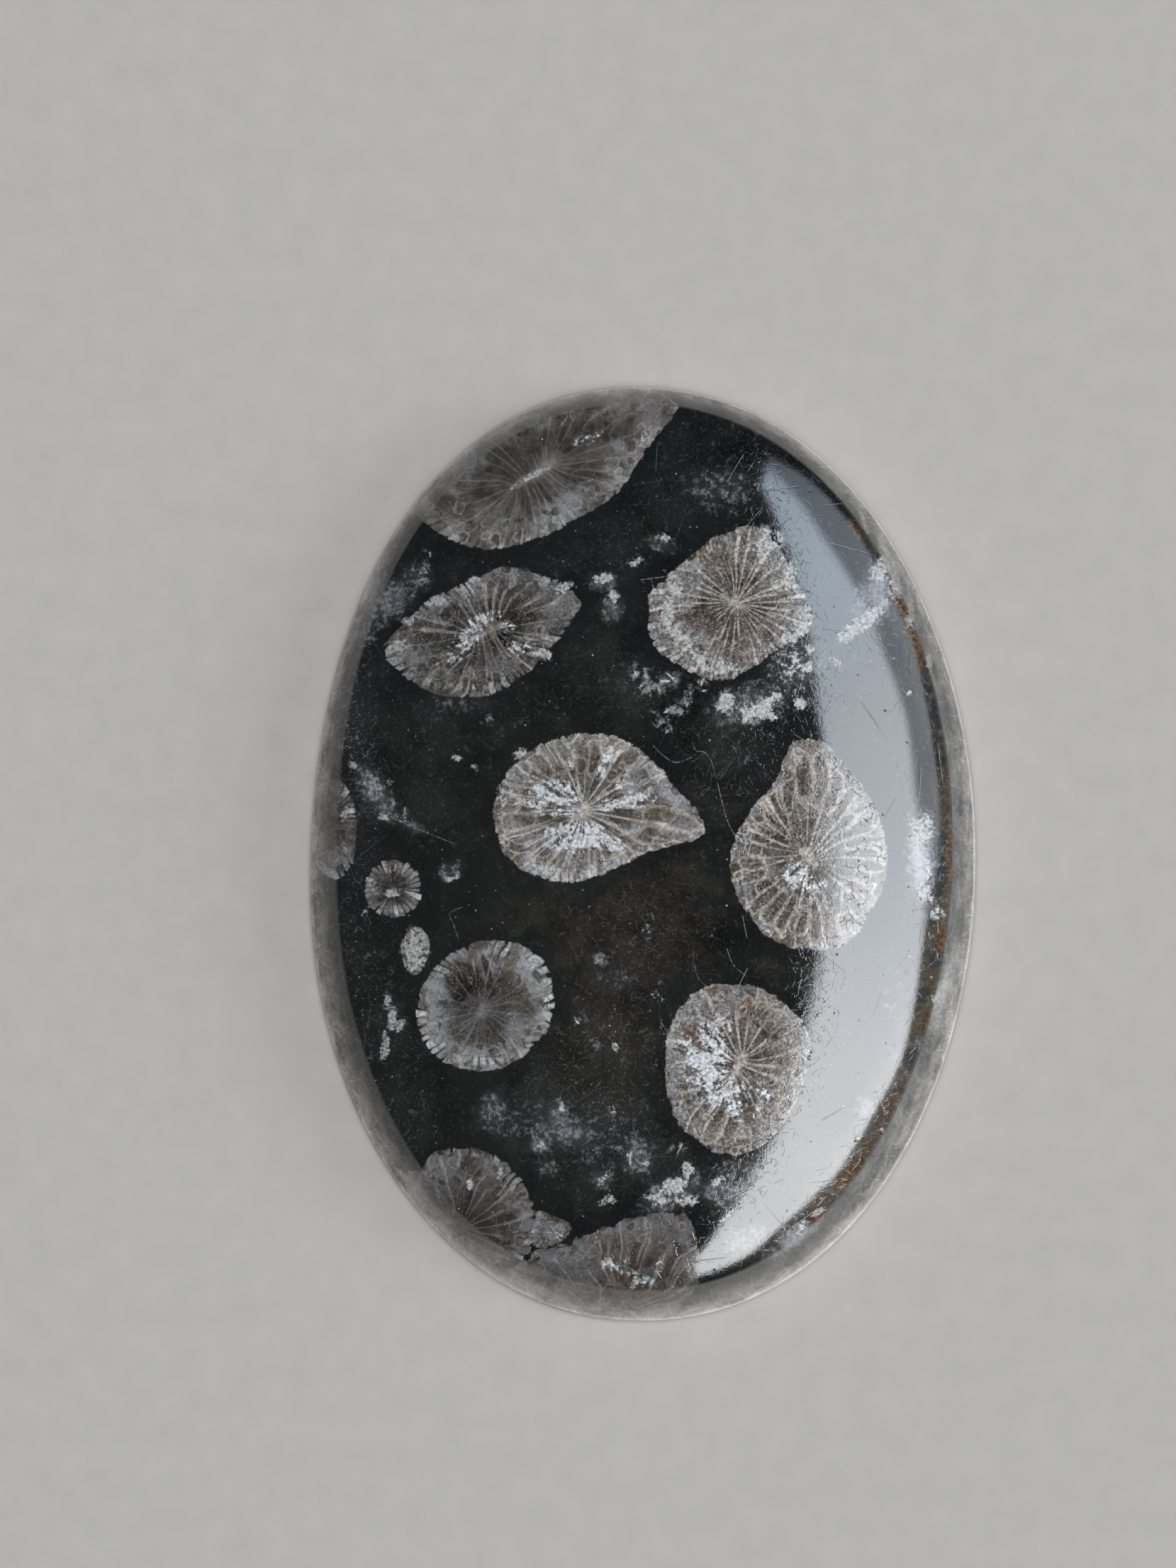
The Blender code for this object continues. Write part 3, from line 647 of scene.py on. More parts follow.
@dataclass
class Pattern:
    """What the coral's pattern is at every vertex of the stone's surface.

    Attributes:
        surface: the stone's surface.
        overlap: how much of the weaker of two marks is added to the stronger.
        softness: power of the square distance in a mark, where 1 is the softest.
        widest_gap: the largest distance from a rim that is told apart, in millimetres.
        strip_width: the stained strip's width in millimetres, by azimuth in degrees.
        strip_share: how strong it is, by azimuth.
        warm_middle: x and y of the middle of the warmer dark stone.
        warm_reach: how far that goes, across and along.
        fibre_reach: how far from a fibre its coordinates are kept, in millimetres.
        fibre_far: what is kept instead where no fibre is so near.
        x: place of each vertex across the coral, whose tubes lean.
        y: its place along the coral.
        places: coordinates of each vertex in every corallite.
    """

    surface: StoneSurface
    overlap: float = 0.35
    softness: float = 1.3
    widest_gap: float = 3.0
    strip_width: Table = (
        (-75, 0.2), (-68, 0.8), (-56, 1.2), (-38, 1.2), (-20, 0.95), (-8, 1), (2, 0.7), (20, 0.65),
        (34, 0.9), (52, 0.7), (60, 0.3))
    strip_share: Table = ((-76, 0), (-70, 1), (-20, 1), (8, 0.9), (18, 0.6), (52, 0.75), (60, 0))
    warm_middle: Pair = (-0.5, -3.5)
    warm_reach: Pair = (7.5, 8.5)
    fibre_reach: float = 0.6
    fibre_far: float = 9.0
    x: np.ndarray = field(init=False)
    y: np.ndarray = field(init=False)
    places: np.ndarray = field(init=False)

    def __post_init__(self) -> None:
        """Find where each vertex lies in the coral and in each corallite."""
        points = self.surface.vertices()
        depth = np.clip(1 - points[:, 2] / self.surface.wall_height, 0, 1)
        self.x = points[:, 0] + self.surface.drift[0] * depth
        self.y = points[:, 1] + self.surface.drift[1] * depth
        self.places = np.stack([np.column_stack(tube.place(self.x, self.y)) for tube in CORALLITES])

    def nearest(self, corners: np.ndarray) -> np.ndarray:
        """Number of the corallite that a face belongs to, the one whose rim is nearest in share.

        Args:
            corners: vertex numbers of the faces, one row each.

        Returns:
            One number for each face.
        """
        share = np.hypot(self.places[..., 0], self.places[..., 1])
        return share[:, corners].mean(axis=2).argmin(axis=0)

    def marks(self, kind: Mark) -> np.ndarray:
        """How strongly each vertex is covered by one kind of mark.

        A mark is a soft ellipse: its strength times exp(-(a^2 + b^2)^softness), where a and b are
        the distances from its middle along and across it, over half its length and half its width.

        Args:
            kind: the kind of mark.

        Returns:
            One value for each vertex, up to about 1.
        """
        cover = np.zeros(len(self.x))
        for x, y, long, short, turn, strength in MARKS[kind]:
            angle = math.radians(turn)
            along = ((self.x - x) * math.cos(angle) + (self.y - y) * math.sin(angle)) / long
            across = ((self.y - y) * math.cos(angle) - (self.x - x) * math.sin(angle)) / short
            soft = strength * np.exp(-((along**2 + across**2) ** self.softness))
            cover = np.maximum(cover, soft) + self.overlap * np.minimum(cover, soft)
        return cover

    def gap(self) -> np.ndarray:
        """Distance of each vertex of the dark stone from the nearest rim."""
        share = np.hypot(self.places[..., 0], self.places[..., 1])
        return np.clip(((share - 1) * self.places[..., 2]).min(axis=0), 0, self.widest_gap)

    def strip(self) -> np.ndarray:
        """How near each vertex is to the stained part of the girdle line, along the +X side.

        It is exp(-(d / w)^4), where d is the distance from the girdle line in millimetres, taken
        along the radius, and the width w depends on the azimuth.

        Returns:
            One value for each vertex, from 0 to 1.
        """
        azimuth = np.arctan2(self.y, self.x)
        turn = np.arctan2(self.surface.girdle[:, 1], self.surface.girdle[:, 0])
        order = np.argsort(turn)
        edge = np.interp(azimuth, turn[order], np.hypot(*self.surface.girdle.T)[order], period=2 * math.pi)
        width = read_table(self.strip_width, np.degrees(azimuth))
        share = read_table(self.strip_share, np.degrees(azimuth))
        return share * np.exp(-(((edge - np.hypot(self.x, self.y)) / width) ** 4))

    def warmth(self) -> np.ndarray:
        """How warm the dark stone is at each vertex.

        It is exp(-(a^2 + b^2)), where a and b are the distances from the warm middle across and
        along the stone, each over its reach.

        Returns:
            One value for each vertex, from 0 to 1.
        """
        across = (self.x - self.warm_middle[0]) / self.warm_reach[0]
        along = (self.y - self.warm_middle[1]) / self.warm_reach[1]
        return np.exp(-(across**2) - along**2)

    def fibres(self, corners: np.ndarray) -> np.ndarray:
        """Coordinates along and across the fibre that is nearest to each corner's face.

        Args:
            corners: vertex numbers of the faces, one row each.

        Returns:
            For each corner the distance across the fibre, with a sign for the side, and how far
            it lies past the nearer end of its stretch, less than 0 between the ends.
        """
        x, y = self.x[corners], self.y[corners]
        middle = np.stack((x.mean(axis=1), y.mean(axis=1)), axis=1)
        best = np.full(len(corners), np.inf)
        found = np.full((*corners.shape, 2), self.fibre_far)
        for line in FIBRES:
            route = np.array(line)
            if len(route) > 2:
                route = smooth_curve(route, FIBRE_STEPS, closed=False)
            for start, stop in zip(route[:-1], route[1:]):
                length = np.linalg.norm(stop - start)
                way = (stop - start) / length
                run = np.clip((middle - start) @ way, 0, length)
                off = np.linalg.norm(middle - start - run[:, None] * way, axis=1)
                near = np.nonzero(off < np.minimum(best, self.fibre_reach))[0]
                best[near] = off[near]
                to_x, to_y = x[near] - start[0], y[near] - start[1]
                run = to_x * way[0] + to_y * way[1]
                found[near, :, 0] = to_x * way[1] - to_y * way[0]
                found[near, :, 1] = np.maximum(-run, run - length)
        return found


@dataclass
class Cabochon:
    """The stone as one mesh, with its pattern as attributes and its own UV map.

    Attributes:
        surface: the stone's surface.
        seed_step: how far apart the random numbers of two corallites are taken.
        top_island: size, x and y of the dome and wall on the UV map.
        base_island: size, x and y of the base and bevel on it.
    """

    surface: StoneSurface
    seed_step: float = 3.7
    top_island: tuple[float, float, float] = (0.62, 0.32, 0.5)
    base_island: tuple[float, float, float] = (0.34, 0.82, 0.5)

    def build(self) -> bpy.types.Object:
        """Make the stone's object.

        Returns:
            The object, at the origin, with its finish on it.
        """
        faces = self.surface.faces()
        mesh = bpy.data.meshes.new(NODE)
        points = self.surface.vertices() * METRES
        mesh.from_pydata(points.tolist(), [], faces[0].tolist() + faces[1].tolist())
        mesh.shade_smooth()
        self.add_pattern(mesh, faces)
        self.add_map(mesh, points, faces)
        mesh.materials.append(CoralFinish().build())
        return add_object("polished_stone", mesh)

    def add_pattern(self, mesh: bpy.types.Mesh, faces: tuple[np.ndarray, np.ndarray]) -> None:
        """Store the pattern: what follows one corallite or fibre per corner, the rest per vertex.

        Args:
            mesh: the stone's mesh.
            faces: vertex numbers of its triangles and its quads.
        """
        pattern = Pattern(self.surface)
        owners = [pattern.nearest(corners) for corners in faces]
        cups = [pattern.places[owner[:, None], corners] for owner, corners in zip(owners, faces)]
        self.store(mesh, "cup", "CORNER", np.vstack([cup.reshape(-1, 3) for cup in cups]))
        lines = np.vstack([pattern.fibres(corners).reshape(-1, 2) for corners in faces])
        self.store(mesh, "fibre", "CORNER", np.column_stack((lines, np.zeros(len(lines)))))
        traits = {
            "habit": [(tube.septa, tube.tone, self.seed_step * k) for k, tube in enumerate(CORALLITES)],
            "make": [(tube.grain, tube.ribs, tube.warm) for tube in CORALLITES],
            "look": [(tube.lines, tube.milky, tube.arches) for tube in CORALLITES],
        }
        for name, rows in traits.items():
            self.store(mesh, name, "FACE", np.array(rows)[np.concatenate(owners)])
        marks = {kind: pattern.marks(kind) for kind in Mark}
        zones = self.surface.per_vertex(self.surface.zones)
        order = list(Zone)
        wall = np.isin(zones, (order.index(Zone.WALL), order.index(Zone.BEVEL))).astype(float)
        base = (zones == order.index(Zone.BASE)).astype(float)
        dome = 1 - np.maximum(wall, base)
        covers = {
            "bloom": (marks[Mark.POWDER], marks[Mark.MILK], marks[Mark.CLOUD]),
            "stain": (marks[Mark.BROWN], marks[Mark.DARK], marks[Mark.RUST]),
            "ground": (wall, base, pattern.gap()),
            "grains": (marks[Mark.CRYSTAL], marks[Mark.ROUGH] * dome, pattern.strip() * dome),
            "depths": (np.clip(marks[Mark.GLOOM], 0, 1), marks[Mark.MIST], pattern.warmth()),
        }
        for name, columns in covers.items():
            self.store(mesh, name, "POINT", np.column_stack(columns))

    def store(self, mesh: bpy.types.Mesh, name: str, domain: str, values: np.ndarray) -> None:
        """Write rows of three numbers as a vector attribute."""
        layer = mesh.attributes.new(name, "FLOAT_VECTOR", domain)
        layer.data.foreach_set("vector", values.astype(np.float32).ravel())

    def add_map(self, mesh: bpy.types.Mesh, points: np.ndarray,
                faces: tuple[np.ndarray, np.ndarray]) -> None:
        """Lay the dome with its wall, and the base with its bevel, side by side on a UV map.

        In each island a point lies in its own direction from the middle, as far out as its way
        along the surface from there, over the whole way in that direction.

        Args:
            mesh: the stone's mesh.
            points: its vertices in metres.
            faces: vertex numbers of its triangles and its quads.
        """
        rings = points[1:-1].reshape(-1, self.surface.turns, 3)
        top_count = Zone.DOME.value + Zone.WALL.value
        outline = rings[top_count - 1, :, :2] / (self.surface.width * METRES)
        steps = np.diff(rings, axis=0, prepend=np.broadcast_to(points[0], rings[:1].shape))
        way = np.cumsum(np.linalg.norm(steps, axis=2), axis=0)
        full = way[top_count - 1]
        whole = way[-1] + np.linalg.norm(rings[-1], axis=1)
        down = (outline * (way[:top_count] / full)[..., None]).reshape(-1, 2)
        under = (outline * ((whole - way) / (whole - full))[..., None]).reshape(-1, 2)
        places = np.zeros((2, len(points), 2))
        places[0, 1:len(down) + 1] = down * self.top_island[0]
        places[0] += self.top_island[1:]
        places[1, 1:-1] = under * self.base_island[0] * (-1, 1)
        places[1] += self.base_island[1:]
        first_base = 1 + top_count * self.surface.turns
        corners = [places[(rows.max(axis=1) >= first_base).astype(int)[:, None], rows] for rows in faces]
        layer = mesh.uv_layers.new(name="OFBake")
        flat = np.vstack([corner.reshape(-1, 2) for corner in corners])
        layer.data.foreach_set("uv", flat.astype(np.float32).ravel())


def formula_step(operation: str, swapped: bool = False) -> Callable[["Wire", "Value"], "Wire"]:
    """A method for one Math operation on a wire and another value.

    Args:
        operation: the Math node's operation.
        swapped: whether the other value comes first.

    Returns:
        The method, which gives the new node's output.
    """
    def method(self: "Wire", other: "Value") -> "Wire":
        """Add the node."""
        return self.bench.math(operation, *((other, self) if swapped else (self, other)))
    return method


@dataclass(frozen=True, eq=False)
class Wire:
    """The output of a node, which formulas use like a number. Each step of one adds a node.

    Attributes:
        bench: where the node stands.
        socket: the output.
    """

    bench: "NodeBench"
    socket: bpy.types.NodeSocket

    __add__ = formula_step("ADD")
    __radd__ = formula_step("ADD", swapped=True)
    __sub__ = formula_step("SUBTRACT")
    __rsub__ = formula_step("SUBTRACT", swapped=True)
    __mul__ = formula_step("MULTIPLY")
    __rmul__ = formula_step("MULTIPLY", swapped=True)
    __truediv__ = formula_step("DIVIDE")
    __rtruediv__ = formula_step("DIVIDE", swapped=True)
    __pow__ = formula_step("POWER")
    __mod__ = formula_step("FLOORED_MODULO")
    __gt__ = formula_step("GREATER_THAN")
    most = formula_step("MAXIMUM")

    def __abs__(self) -> "Wire":
        """Its size without a sign."""
        return self.bench.math("ABSOLUTE", self)

    def split(self) -> tuple["Wire", "Wire"]:
        """The whole number below it, and what is left over."""
        return self.bench.math("FLOOR", self), self.bench.math("FRACT", self)

    def parts(self) -> tuple["Wire", ...]:
        """The three parts of a vector or a colour."""
        return self.bench.add("SeparateXYZ", {0: self})

    def ease(self, low: "Value", high: "Value") -> "Wire":
        """0 below low and 1 above high, eased between. With low above high it falls instead."""
        given = dict(enumerate((self, low, high, 0.0, 1.0)))
        return self.bench.add("MapRange", given, interpolation_type="SMOOTHSTEP")[0]


Value = float | tuple | Wire


class NodeBench:
    """Adds nodes to one material and links them, each call giving the new node's output."""

    def __init__(self, name: str) -> None:
        """Start a material with its Principled shader.

        Args:
            name: the material's name.
        """
        self.material = bpy.data.materials.new(name)
        self.material.use_nodes = True
        self.nodes = self.material.node_tree.nodes
        self.shader = self.nodes["Principled BSDF"]

    def feed(self, node: bpy.types.Node, given: dict[int | str, Value]) -> None:
        """Link wires to a node's inputs, or set the inputs' own values.

        Args:
            node: the node.
            given: a wire or a value for each input, by its number or its name.
        """
        for place, value in given.items():
            if isinstance(value, Wire):
                self.material.node_tree.links.new(value.socket, node.inputs[place])
            else:
                node.inputs[place].default_value = value

    def add(self, kind: str, given: dict[int | str, Value], **settings: str) -> tuple[Wire, ...]:
        """Add a node.

        Args:
            kind: its type, without the first part that all shader nodes share.
            given: what its inputs get, by number or name.
            settings: its own properties, which are set first.

        Returns:
            Its outputs.
        """
        node = self.nodes.new("ShaderNode" + kind)
        for name, setting in settings.items():
            setattr(node, name, setting)
        self.feed(node, given)
        return tuple(Wire(self, socket) for socket in node.outputs)

    def place(self) -> Wire:
        """Where a point lies on its object, in metres."""
        return Wire(self, self.nodes.new("ShaderNodeTexCoord").outputs["Object"])

    def stored(self, name: str) -> tuple[Wire, ...]:
        """The three parts of a vector attribute of the mesh."""
        return self.add("Attribute", {}, attribute_name=name)[1].parts()

    def math(self, operation: str, *values: Value) -> Wire:
        """One Math node."""
        return self.add("Math", dict(enumerate(values)), operation=operation)[0]

    def vector(self, operation: str, a: Value, b: Value) -> Wire:
        """One Vector Math node, of the kinds that give a vector."""
        return self.add("VectorMath", {0: a, 1: b}, operation=operation)[0]

    def dot(self, a: Value, b: Value) -> Wire:
        """Dot product of two vectors."""
        return self.add("VectorMath", {0: a, 1: b}, operation="DOT_PRODUCT")[1]

    def dim(self, colour: Value, factor: Value) -> Wire:
        """A colour or a vector times a number."""
        return self.add("VectorMath", {0: colour, "Scale": factor}, operation="SCALE")[0]

    def join(self, x: Value, y: Value, z: Value) -> Wire:
        """A vector of three values."""
        return self.add("CombineXYZ", {0: x, 1: y, 2: z})[0]

    def noise(self, where: Value, scale: float, detail: float = 2.0, rough: float = 0.5,
              solid: bool = False) -> Wire:
        """Smooth noise, about 0.5 on average, that doesn't change with height unless it is solid."""
        given = {"Vector": where, "Scale": scale, "Detail": detail, "Roughness": rough}
        return self.add("TexNoise", given, noise_dimensions="3D" if solid else "2D")[0]

    def cells(self, where: Value, scale: float) -> tuple[Wire, ...]:
        """Cells round scattered points, which don't change with height.

        Args:
            where: the place.
            scale: cells in a unit of length.

        Returns:
            The distance from the cell's point in cells, its random colour, and the point itself.
        """
        return self.add("TexVoronoi", {"Vector": where, "Scale": scale}, voronoi_dimensions="2D")[:3]

    def chance(self, where: Value) -> tuple[Wire, ...]:
        """Three random numbers from 0 to 1 that depend on a vector."""
        return self.add("TexWhiteNoise", {"Vector": where})[1].parts()

    def blend(self, share: Value, a: Value, b: Value) -> Wire:
        """Colour a turned into colour b by a share."""
        a, b = ((*value, 1.0) if isinstance(value, tuple) else value for value in (a, b))
        return self.add("Mix", {0: share, 6: a, 7: b}, data_type="RGBA")[2]

    def level(self, share: Value, a: Value, b: Value) -> Wire:
        """Number a turned into number b by a share."""
        return self.add("Mix", {0: share, 2: a, 3: b})[0]


class CoralBench(NodeBench):
    """The bench of the coral's material, with the wires that several of its formulas share.

    The mesh's attributes give what Cabochon.add_pattern stores: the corallite's own values, such
    as its number of septa, and how strongly each kind of mark, a name that ends in here, covers
    the place. The others are:

    Attributes:
        spot: the place, in millimetres.
        out: way out from the columella, 1 at the rim.
        around: turn round the columella, from -0.5 to 0.5.
        reach: how far the rim is from the columella in this direction, in millimetres.
        left: 1 on the -X side of the stone.
        low: 1 at its -Y end.
        ends: 1 at both its ends.
        grain: fine noise, the sharpest of four.
        crisp: the same with more contrast.
        lumpy: coarser noise.
        coarse: noise of about half a millimetre.
        broad: noise of more than a millimetre.
        strokes: short scratches.
        long_strokes: long ones.
        lumps: small round grains, each with its own tone, lump.
        coral_here: 1 in a corallite.
        crack: thin curved cracks in the corallites.
        pits: small pits.
        hatch: noise drawn out along the slanting grinding marks.
    """

    def __init__(self, name: str) -> None:
        """Start the material, read the pattern that the mesh stores, and make the shared noises.

        Args:
            name: the material's name.
        """
        super().__init__(name)
        self.read_pattern()
        self.make_fields()

    def read_pattern(self) -> None:
        """Read the place, in millimetres, and what the mesh stores about the coral there."""
        self.spot = self.dim(self.place(), 1 / METRES)
        u, v, self.reach = self.stored("cup")
        self.septa, self.tone, self.seed = self.stored("habit")
        self.grainy, self.ribbed, self.reddish = self.stored("make")
        self.lined, self.milky, self.arched = self.stored("look")
        self.powder_here, self.milk_here, self.cloud_here = self.stored("bloom")
        self.brown_here, self.dark_here, self.rust_here = self.stored("stain")
        self.wall, self.base, self.gap = self.stored("ground")
        self.crystal_here, self.rough_here, self.strip = self.stored("grains")
        self.gloom, self.mist, self.warm_here = self.stored("depths")
        side, along, self.high = self.spot.parts()
        self.left = side.ease(2.0, -8.0)
        self.low = along.ease(-6.0, -12.0)
        self.ends = abs(along).ease(11.0, 17.0)
        self.out = self.math("SQRT", u * u + v * v)
        self.around = self.math("ARCTAN2", v, u) * (1 / (2 * math.pi))

    def make_fields(self) -> None:
        """Make the noises that several parts of the finish share, from fine to broad."""
        self.grain = self.noise(self.spot, 7.0, 3.0, 0.75)
        self.crisp = self.grain.ease(0.3, 0.7)
        self.coarse = self.noise(self.spot, 1.9, 3.0, 0.6)
        self.broad = self.noise(self.spot, 0.75, 2.0, 0.5)
        self.lumpy = self.noise(self.spot, 3.8, 2.0, 0.6)
        self.strokes = self.scratches(0.28, 0.008, 3.0).most(self.scratches(0.46, 0.01, 8.0))
        self.long_strokes = self.scratches(1.3, 0.01, 21.0)
        away, colour, _ = self.cells(self.spot, 7.0)
        self.lump = colour.parts()[0]
        self.lumps = away.ease(0.65, 0.1)
        self.coral_here = self.out.ease(1.01, 0.97)
        self.crack = self.worms(1.7, 0.022, 0.48, 7.0) * self.out.ease(0.35, 0.6)
        self.pits = self.specks(1.1, 0.8, 0.05)
        slant = {"Vector": self.spot, "Rotation": (0, 0, math.radians(-42)), "Scale": (0.42, 0.1, 0.4)}
        self.hatch = self.noise(self.add("Mapping", slant, vector_type="TEXTURE")[0], 1.0, 2.0, 0.6)

    def specks(self, scale: float, rare: float, size: float) -> Wire:
        """Small dots, one in some of the cells.

        Args:
            scale: cells in a millimetre.
            rare: share of the cells that have none.
            size: a dot's radius as a share of the cell.

        Returns:
            1 on a dot and 0 beside it.
        """
        away, colour, _ = self.cells(self.spot, scale)
        pick, bulk, _ = colour.parts()
        radius = (0.4 + bulk) * size
        return away.ease(radius, radius * 0.5) * (pick > rare)

    def worms(self, scale: float, width: float, rare: float, seed: float) -> Wire:
        """Short thin curved lines: where smooth noise passes its middle value, in some places.

        Args:
            scale: bends in a millimetre.
            width: half a line's width, as a difference of the noise.
            rare: value of a second noise above which the lines show.
            seed: sets these lines apart from others.

        Returns:
            1 on a line and 0 beside it.
        """
        where = self.vector("ADD", self.spot, (seed, 2.0 * seed, 0.0))
        bend = self.noise(where, scale, 1.0)
        keep = self.noise(self.vector("ADD", where, (40.0 + seed, 0.0, 0.0)), scale * 1.1, 1.0)
        return abs(bend - 0.5).ease(width, width * 0.3) * keep.ease(rare, rare + 0.07)

    def scratches(self, size: float, width: float, seed: float) -> Wire:
        """Straight scratches, one through the middle of each cell in a random direction.

        Args:
            size: size of a cell in millimetres, about the length of a scratch.
            width: half its width in millimetres.
            seed: sets these scratches apart from others.

        Returns:
            1 on a scratch and 0 beside it.
        """
        where = self.vector("ADD", self.spot, (seed, -seed, 0.0))
        away, _, middle = self.cells(where, 1 / size)
        turn, faint, _ = self.chance(middle)
        angle = turn * math.pi
        normal = self.join(self.math("COSINE", angle), self.math("SINE", angle), 0.0)
        off = self.dot(self.vector("SUBTRACT", where, middle), normal)
        return abs(off).ease(width * 2.5, width) * faint.ease(0.3, 1.0) * away.ease(0.7, 0.3)

    def draw(self, count: Wire, around: Value, seed: float) -> tuple[tuple[Wire, ...], Wire]:
        """Random numbers for each step of a count that closes on itself, and the place in the step.

        Args:
            count: the count, whose whole part numbers the steps.
            around: number of steps in a full turn.
            seed: sets these numbers apart from others.

        Returns:
            Three random numbers from 0 to 1, and the place across the step, from -0.5 to 0.5.
        """
        number, place = count.split()
        return self.chance(self.join(number % around, self.seed, seed)), place - 0.5


@dataclass(frozen=True)
class CoralFinish:
    """Polished agate with coral in it: dark and glossy between the corallites, which are grainy.

    Attributes:
        clear: dark stone with nothing in it, round each corallite.
        dark: the stone between the corallites.
        dark_warm: the same, towards the middle of the stone.
        chamber: filling between the septa.
        chamber_red: the same, stained brown.
        outer: the corallite's outer zone.
        milk: grey-blue chalcedony.
        septum: the septa's lines.
        rib: ends of the septa at the rim.
        powder: blue-white grains.
        crystal: white grains.
        strip_brown: the stained stone beside the girdle line.
        strip_grey: the same where it is clear.
        rust: iron stain.
        rust_bright: the same where it is strong.
        haze: what the ground, unpolished wall and base add.
        polish: roughness of the dome.
        satin: roughness of the wall.
        bending: agate's index of refraction.
        rim_softness: half the width over which a rim passes into the dark stone, in millimetres.
    """

    clear: Colour = (0.0075, 0.0095, 0.0095)
    dark: Colour = (0.0114, 0.0132, 0.0129)
    dark_warm: Colour = (0.0205, 0.0192, 0.0175)
    chamber: Colour = (0.054, 0.05, 0.043)
    chamber_red: Colour = (0.1, 0.073, 0.061)
    outer: Colour = (0.14, 0.137, 0.134)
    milk: Colour = (0.185, 0.196, 0.215)
    septum: Colour = (0.35, 0.325, 0.295)
    rib: Colour = (0.43, 0.44, 0.45)
    powder: Colour = (0.61, 0.66, 0.71)
    crystal: Colour = (0.52, 0.532, 0.54)
    strip_brown: Colour = (0.092, 0.073, 0.055)
    strip_grey: Colour = (0.046, 0.052, 0.052)
    rust: Colour = (0.066, 0.04, 0.021)
    rust_bright: Colour = (0.185, 0.112, 0.056)
    haze: Colour = (0.62, 0.604, 0.58)
    polish: float = 0.065
    satin: float = 0.42
    bending: float = 1.54
    rim_softness: float = 0.035

    def build(self) -> bpy.types.Material:
        """Make the material.

        Returns:
            The material, with everything linked.
        """
        bench = CoralBench("agatised_coral")
        coral, edge, dust = self.corallite(bench)
        soft = self.rim_softness / bench.reach
        inside = bench.out.ease(edge + soft, edge - soft)
        colour = bench.blend(inside, self.dark_stone(bench), coral)
        colour, grit = self.surface_marks(bench, colour, dust)
        colour, rough = self.ground_faces(bench, colour, inside, grit)
        bump = bench.add("Bump", {"Distance": METRES, "Height": self.relief(bench)})[0]
        bench.feed(bench.shader, {
            "Base Color": colour, "Roughness": rough, "IOR": self.bending, "Normal": bump})
        return bench.material

    def corallite(self, bench: CoralBench) -> tuple[Wire, Wire, Wire]:
        """Colour of a corallite: septa, chambers with arched ends, and outer cells.

        The turn round the columella, times the number of septa, counts the septa. A septum is a
        line at each whole number and a chamber is what lies between two. Random numbers for each
        give its length, its width and its filling.

        Args:
            bench: where the nodes go.

        Returns:
            The colour, the share at which the rim lies, and how thick the powder is.
        """
        sway = (bench.noise(bench.spot, 0.6, 1.0) - 0.5) * 1.1
        count = bench.around * bench.septa + sway * bench.out
        far = bench.out * bench.reach
        step = far * (2 * math.pi) / bench.septa
        lines = self.long_septa(bench, count, step).most(self.short_septa(bench, count, step))
        draws, across = bench.draw(count, bench.septa, 2.0)
        four, five, six = draws
        arch = 0.42 + six * 0.34 + across * across * -0.5 + (bench.coarse - 0.5) * 0.25
        filling = bench.blend(bench.reddish, self.chamber, self.chamber_red)
        chamber = bench.out.ease(arch + 0.03, arch - 0.03) * bench.out.ease(0.04, 0.2) * (0.3 + four * 0.7)
        off_arch = abs(bench.out - arch) * bench.reach
        arch_line = off_arch.ease(0.05, 0.015) * five.ease(0.5, 0.9) * 0.5
        outer = bench.blend(bench.milky * 0.8, self.outer, self.milk)
        body = bench.blend(bench.broad.ease(0.38, 0.6), bench.dim(filling, 1.3), outer)
        zone = bench.out.ease(arch - 0.02, arch + 0.08)
        fill = bench.dim(filling, 0.5 + bench.coarse.ease(0.35, 0.62) * 0.8)
        body = bench.blend(chamber * 0.9, body, fill)
        brown = (bench.brown_here + bench.coarse * 1.2).ease(0.85, 1.35)
        body = bench.blend(brown * 0.6, body, self.chamber_red)
        dark = (bench.dark_here + bench.coarse * 0.6).ease(0.5, 0.95)
        body = bench.blend(dark * 0.88, body, bench.dim(filling, 0.25))
        veil = (bench.milk_here + bench.coarse * 1.3).ease(0.75, 1.5)
        body = bench.blend(veil * 0.85, body, self.milk)
        body = self.bubbles(bench, body, filling, zone)
        body = self.rim_chambers(bench, body, filling, across, draws)
        body, edge = self.rim_ribs(bench, body, count)
        lines = lines.most(arch_line) * bench.lined
        body = bench.blend(lines * 0.85, body, self.septum)
        hub = (bench.out + bench.coarse * 0.06).ease(0.11, 0.05)
        body = bench.blend(hub * bench.lined * 0.75, body, bench.dim(self.septum, 1.15))
        rays = bench.noise(bench.join(count, far * 0.8, bench.seed), 1.6, 2.0, 0.65, solid=True)
        grit = ((bench.crisp - 0.5) * (0.25 + bench.grainy) * 0.9 + (rays - 0.5) * 1.1
                + (bench.hatch - 0.5) * bench.rough_here * 1.2)
        swing = (bench.out.ease(0.3, 0.92) - 0.45) * bench.ribbed * 0.75
        body = bench.dim(body, bench.tone * (1.0 + swing) * (1.0 + grit).most(0.2))
        body = bench.blend(bench.crack * 0.65, body, self.dark)
        glint = (bench.noise(bench.spot, 13.0, 0.0).ease(0.64, 0.73) * bench.grainy
                 * bench.coarse.ease(0.4, 0.6))
        body = bench.blend(glint * 0.45, body, self.crystal)
        dust = (bench.powder_here + (rays - 0.5) * 3.0 + (bench.coarse - 0.5) * 1.6
                + (bench.lumpy - 0.5) * 0.7 + (bench.grain - 0.5) * 1.5)
        dust = (dust.ease(0.25, 1.1) * bench.powder_here.ease(0.03, 0.35)
                * (0.65 + bench.grain.ease(0.36, 0.6) * 0.35))
        return body, edge, dust

